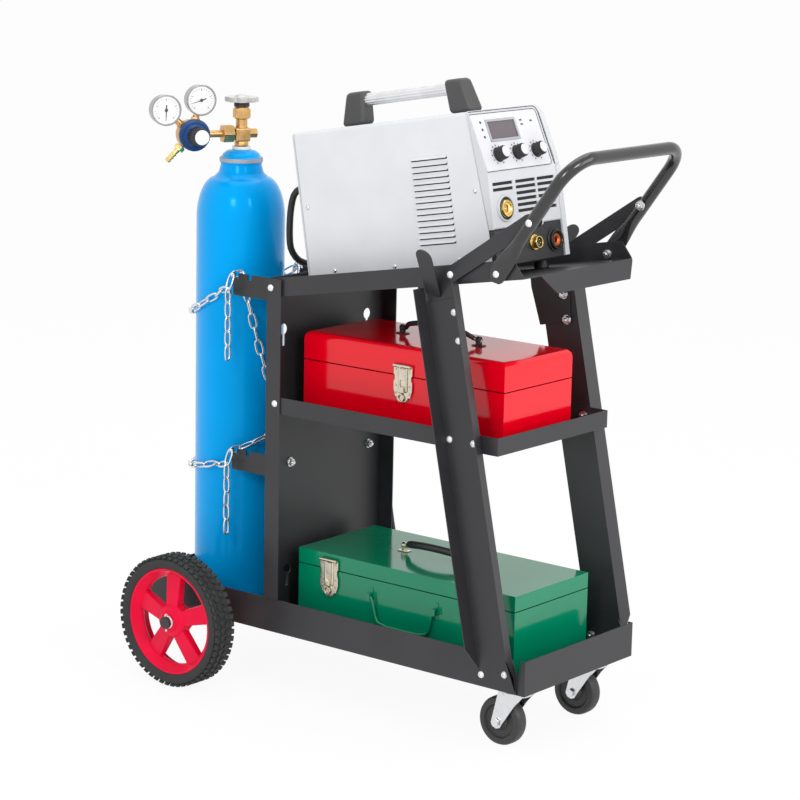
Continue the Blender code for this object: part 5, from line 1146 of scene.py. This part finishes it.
posts = joined("handle_posts", post("post", 0.0736, 0.0810), post("post", 0.2520, 0.2420))
post_grey = coat("handle_plastic", (0.060, 0.060, 0.062), 0.45, grain=0.10, grain_scale=900)
settle(posts, "welder", "handle_plastic", post_grey, "carry_handle", smooth=45, at=SLOPE)
bar = extruded("ribbed_bar", fluted(0.0082, 0.0074, 12, 8), -0.0720, 0.0720)
settle(bar, "welder", "zinc", aluminium, at=SLOPE @ Matrix.Translation((0.1590, 0, 0.7770)) @ FACING_X)

# Welder back --------------------------------------------------------------------------------------
# The grey rear cover with its fan grille, the rocker switch and the lead's strain relief.
settle(rounded_copy("welder_rear_cover", 0.0004), "welder", "grey_plastic", fascia_grey, "welder_rear_cover")
settle(rounded_copy("power_switch", 0.0004), "power_rocker", "black_plastic", black_plastic, "power_switch")
relief = [(0, 0.0003), (0.0112, 0.0003), (0.0112, 0.0030), (0.0100, 0.0042), (0.0082, 0.0046)]
for ridge in range(6):
    crest = 0.0080 - 0.0004 * ridge
    valley = 0.0066 - 0.0003 * ridge
    start = 0.0060 + 0.0044 * ridge
    relief += [(crest, start), (crest, start + 0.0026), (valley, start + 0.0028), (valley, start + 0.0042)]
gland = turned("strain_relief", relief + [(0.0054, 0.0326), (0, 0.0326)], 40)
settle(gland, "welder", "black_plastic", flex_rubber,
       at=SLOPE @ Matrix.Translation((0.020, -0.010, 0.672)) @ FACING_BACK)

# Toolboxes ----------------------------------------------------------------------------------------
# Two steel boxes in gloss enamel, red with rounded edges and green with sharp ones. Their lids turn
# on a pin along the far side. The seam is a groove between two rolled edges.
red_enamel = coat("red_enamel", (0.88, 0.0, 0.012), 0.10, grain=0.03, grain_scale=90, patchy=0.03,
                  patch_scale=10, tint=0.05)
green_enamel = coat("green_enamel", (0.0, 0.235, 0.115), 0.12, grain=0.03, grain_scale=90, patchy=0.03,
                    patch_scale=10, tint=0.06)
EDGE_BAND = 0.0016          # points this near to the seam are the rolled edges
for colour, slot_name, enamel, split, top in (("red", "red_enamel", red_enamel, 0.4450, 0.4830),
                                              ("green", "green_enamel", green_enamel, 0.1720, 0.1930)):
    box = rounded_copy(colour + "_box", 0.0006)
    for v in box.data.vertices:
        if v.co.z > split - EDGE_BAND:
            v.co.z -= 0.0004
    settle(box, "cart", slot_name, enamel, colour + "_box")
    lid = rounded_copy(colour + "_lid", 0.0006)
    for v in lid.data.vertices:
        if split < v.co.z < split + EDGE_BAND:
            v.co.z += 0.0006
    cut_out(lid, block("above", (-0.3, -0.2, top + 0.0003), (0.4, 0.2, top + 0.05), 0))
    settle(lid, colour + "_lid", slot_name, enamel, colour + "_lid", smooth=40)

# Latches ------------------------------------------------------------------------------------------
# Pressed nickel-plated hasps: a hinge roll at the top, two ribs, a round end and a turn button.
nickel = coat("nickel_plate", (0.70, 0.64, 0.52), 0.24, metallic=1.0, grain=0.06, grain_scale=300,
              patchy=0.10, patch_scale=90, tint=0.10)
rivet_zinc = coat("rivet", (0.62, 0.56, 0.44), 0.30, metallic=1.0)
for name, x, face_y, split, longer in (("red_latch", 0.0860, -0.0720, 0.4450, 0.0),
                                       ("green_latch_rear", -0.0250, -0.0790, 0.1720, 0.0030),
                                       ("green_latch_front", 0.2200, -0.0790, 0.1720, 0.0030)):
    shape = [(-0.0150, 0.0135), (0.0150, 0.0135), (0.0150, 0.0020), (0.0132, 0.0002), (0.0132, -0.0050),
             (0.0150, -0.0070), (0.0150, -0.0170)]
    shape += [(0.0150 - 0.0030 * step / 3, -0.0170 - 0.0100 * step / 3) for step in range(1, 4)]
    shape += [(0.0060 * math.cos(math.radians(a)) * 1.4, -0.0275 + 0.0060 * math.sin(math.radians(a)))
              for a in range(0, -181, -30)]
    shape += [(-x0, z0) for x0, z0 in reversed(shape[2:10])]
    shape = [(x0, z0 - (longer if z0 < -0.006 else 0.0)) for x0, z0 in shape]
    leaf = extruded("leaf", shape, 0, 0.0014, 0.0004)
    ribs = []
    for offset in (-0.0052, 0.0062):
        rib = turned("rib", [(0, -0.0200), (0.0016, -0.0192), (0.0020, -0.0180), (0.0020, 0.0100),
                             (0.0014, 0.0112), (0, 0.0116)], 16)
        ribs.append(moved(rib, Matrix.Translation((offset, 0, 0.0014)) @ outward(1)))
    roll = turned("roll", [(0, -0.0142), (0.0024, -0.0142), (0.0024, 0.0142), (0, 0.0142)], 24,
                  rounding=0.0004)
    moved(roll, Matrix.Translation((0, 0.0135, 0.0026)) @ FACING_X)
    upper = block("upper", (-0.0048, -0.0048, 0.0014), (0.0058, 0.0100, 0.0030), 0.0006)
    turn_button = block("button", (-0.0044, -0.0210, 0.0014), (0.0048, -0.0130, 0.0062), 0.0012)
    hook = turned("ring", [(0.0036, -0.0008), (0.0056, -0.0008), (0.0056, 0.0008), (0.0036, 0.0008)], 24,
                  ring=True, rounding=0.0003)
    moved(hook, Matrix.Translation((-0.0020, -0.0275, 0.0030)))
    hasp_place = LAYOUT @ Matrix.Translation((x, face_y - 0.0016, split)) @ FACING_LEFT
    hasp = joined(name + "_hasp", leaf, *ribs, roll, upper, turn_button, hook)
    settle(hasp, name, "nickel", nickel, name, at=hasp_place)
    rivets = []
    for rx in (-0.0112, 0.0112):
        for rz in (0.0085, -0.0120, -0.0215):
            rivet = turned("rivet", [(0, 0.0014), (0.0015, 0.0014), (0.0012, 0.0021), (0, 0.0024)], 12)
            rivets.append(moved(rivet, Matrix.Translation((rx, rz, 0))))
    settle(joined(name + "_rivets", *rivets), name, "nickel", rivet_zinc, at=hasp_place)

# Toolbox handles ----------------------------------------------------------------------------------
# Arched black grips whose steel ends turn in loops on the lids. The green lid's loops are plated,
# the red lid's are black. Each loop has a foot that is spot-welded to the lid.
LOOP_UP = 0.0078            # the pivot's height over the lid
HANDLE_HALF_SPAN = 0.056
WIRE_R = 0.0026


def along(name, points, radii, sides=5):
    """A round bar of changing radius along points."""
    curve = bpy.data.curves.new(name, "CURVE")
    curve.dimensions = "3D"
    curve.bevel_depth = 1.0
    curve.bevel_resolution = sides
    curve.use_fill_caps = True
    run = curve.splines.new("POLY")
    run.points.add(len(points) - 1)
    for spot, at, radius in zip(run.points, points, radii):
        spot.co = (*at, 1.0)
        spot.radius = radius
    source = bpy.data.objects.new("source", curve)
    scene.collection.objects.link(source)
    bpy.context.view_layer.update()
    mesh = bpy.data.meshes.new_from_object(source.evaluated_get(bpy.context.evaluated_depsgraph_get()))
    bpy.data.objects.remove(source)
    piece = bpy.data.objects.new(name, mesh)
    scene.collection.objects.link(piece)
    return piece


for name, middle, lid_top, tip, reach, thick, loop_slot, loop_coat in (
        ("red", 0.0865, 0.4830, 44, 0.0200, 0.0034, "black_plastic", black_plastic),
        ("green", 0.0975, 0.1930, 30, 0.0215, 0.0050, "nickel", nickel)):
    pivot = Vector((0, 0, lid_top + LOOP_UP))
    half = HANDLE_HALF_SPAN
    tip = math.radians(tip)
    out = Vector((0, -math.cos(tip), math.sin(tip)))
    arch = [pivot + Vector((middle - half - 0.0086, 0, 0)), pivot + Vector((middle - half - 0.0012, 0, 0))]
    for step in range(1, 12):
        t = step / 12
        span = Vector((middle - half + 2 * half * t, 0, 0))
        arch.append(pivot + span + out * reach * math.sin(math.pi * t) ** 0.5)
    arch += [pivot + Vector((middle + half + 0.0012, 0, 0)), pivot + Vector((middle + half + 0.0086, 0, 0))]
    fine = smooth_path(arch, 0.0020)
    wire = along(name + "_handle_wire", fine, [WIRE_R] * len(fine))
    settle(wire, name + "_handle", "zinc", bright_zinc, smooth=50, at=LAYOUT)
    held = fine[5:-5]
    count = len(held)
    grip = along(name + "_handle_grip", held,
                 [0.0030 + (thick - 0.0030) * ease(0, 10, min(i, count - 1 - i)) for i in range(count)], 6)
    settle(grip, name + "_handle", "black_plastic", black_plastic, name + "_handle", smooth=50, at=LAYOUT)
    loops = []
    for x in (middle - half - 0.0060, middle + half + 0.0060):
        foot = block("foot", (x - 0.0082, -0.0052, lid_top + 0.0003), (x + 0.0082, 0.0052, lid_top + 0.0014),
                     0.0004)
        web = block("web", (x - 0.0026, -0.0040, lid_top + 0.0010), (x + 0.0026, 0.0040, lid_top + 0.0080),
                    0.0010)
        eye = turned("eye", [(0, -0.0028), (0.0044, -0.0028), (0.0044, 0.0028), (0, 0.0028)], 32,
                     rounding=0.0007)
        loops += [foot, web, moved(eye, Matrix.Translation((x, 0, lid_top + LOOP_UP)) @ FACING_X)]
    loops = joined(name + "_handle_loops", *loops)
    settle(loops, name + "_lid", loop_slot, loop_coat, at=LAYOUT)

# Bail of the green box ----------------------------------------------------------------------------
# A wire bail in the box's own green, hanging in two small staples with cross-shaped plates.
settle(rounder_copy("green_bail", 1, 0.0002), "green_bail", "green_enamel", green_enamel, "green_bail",
       smooth=60)
staples = []
for x in (0.0455, 0.1525):
    for half_x, low_z, high_z in ((0.0022, 0.1400, 0.1620), (0.0080, 0.1476, 0.1524)):
        staples.append(block("staple_bar", (x - half_x, -0.0800, low_z), (x + half_x, -0.0791, high_z),
                             0.0003))
staples = joined("bail_staples", *staples)
settle(staples, "cart", "green_enamel", green_enamel, at=LAYOUT)
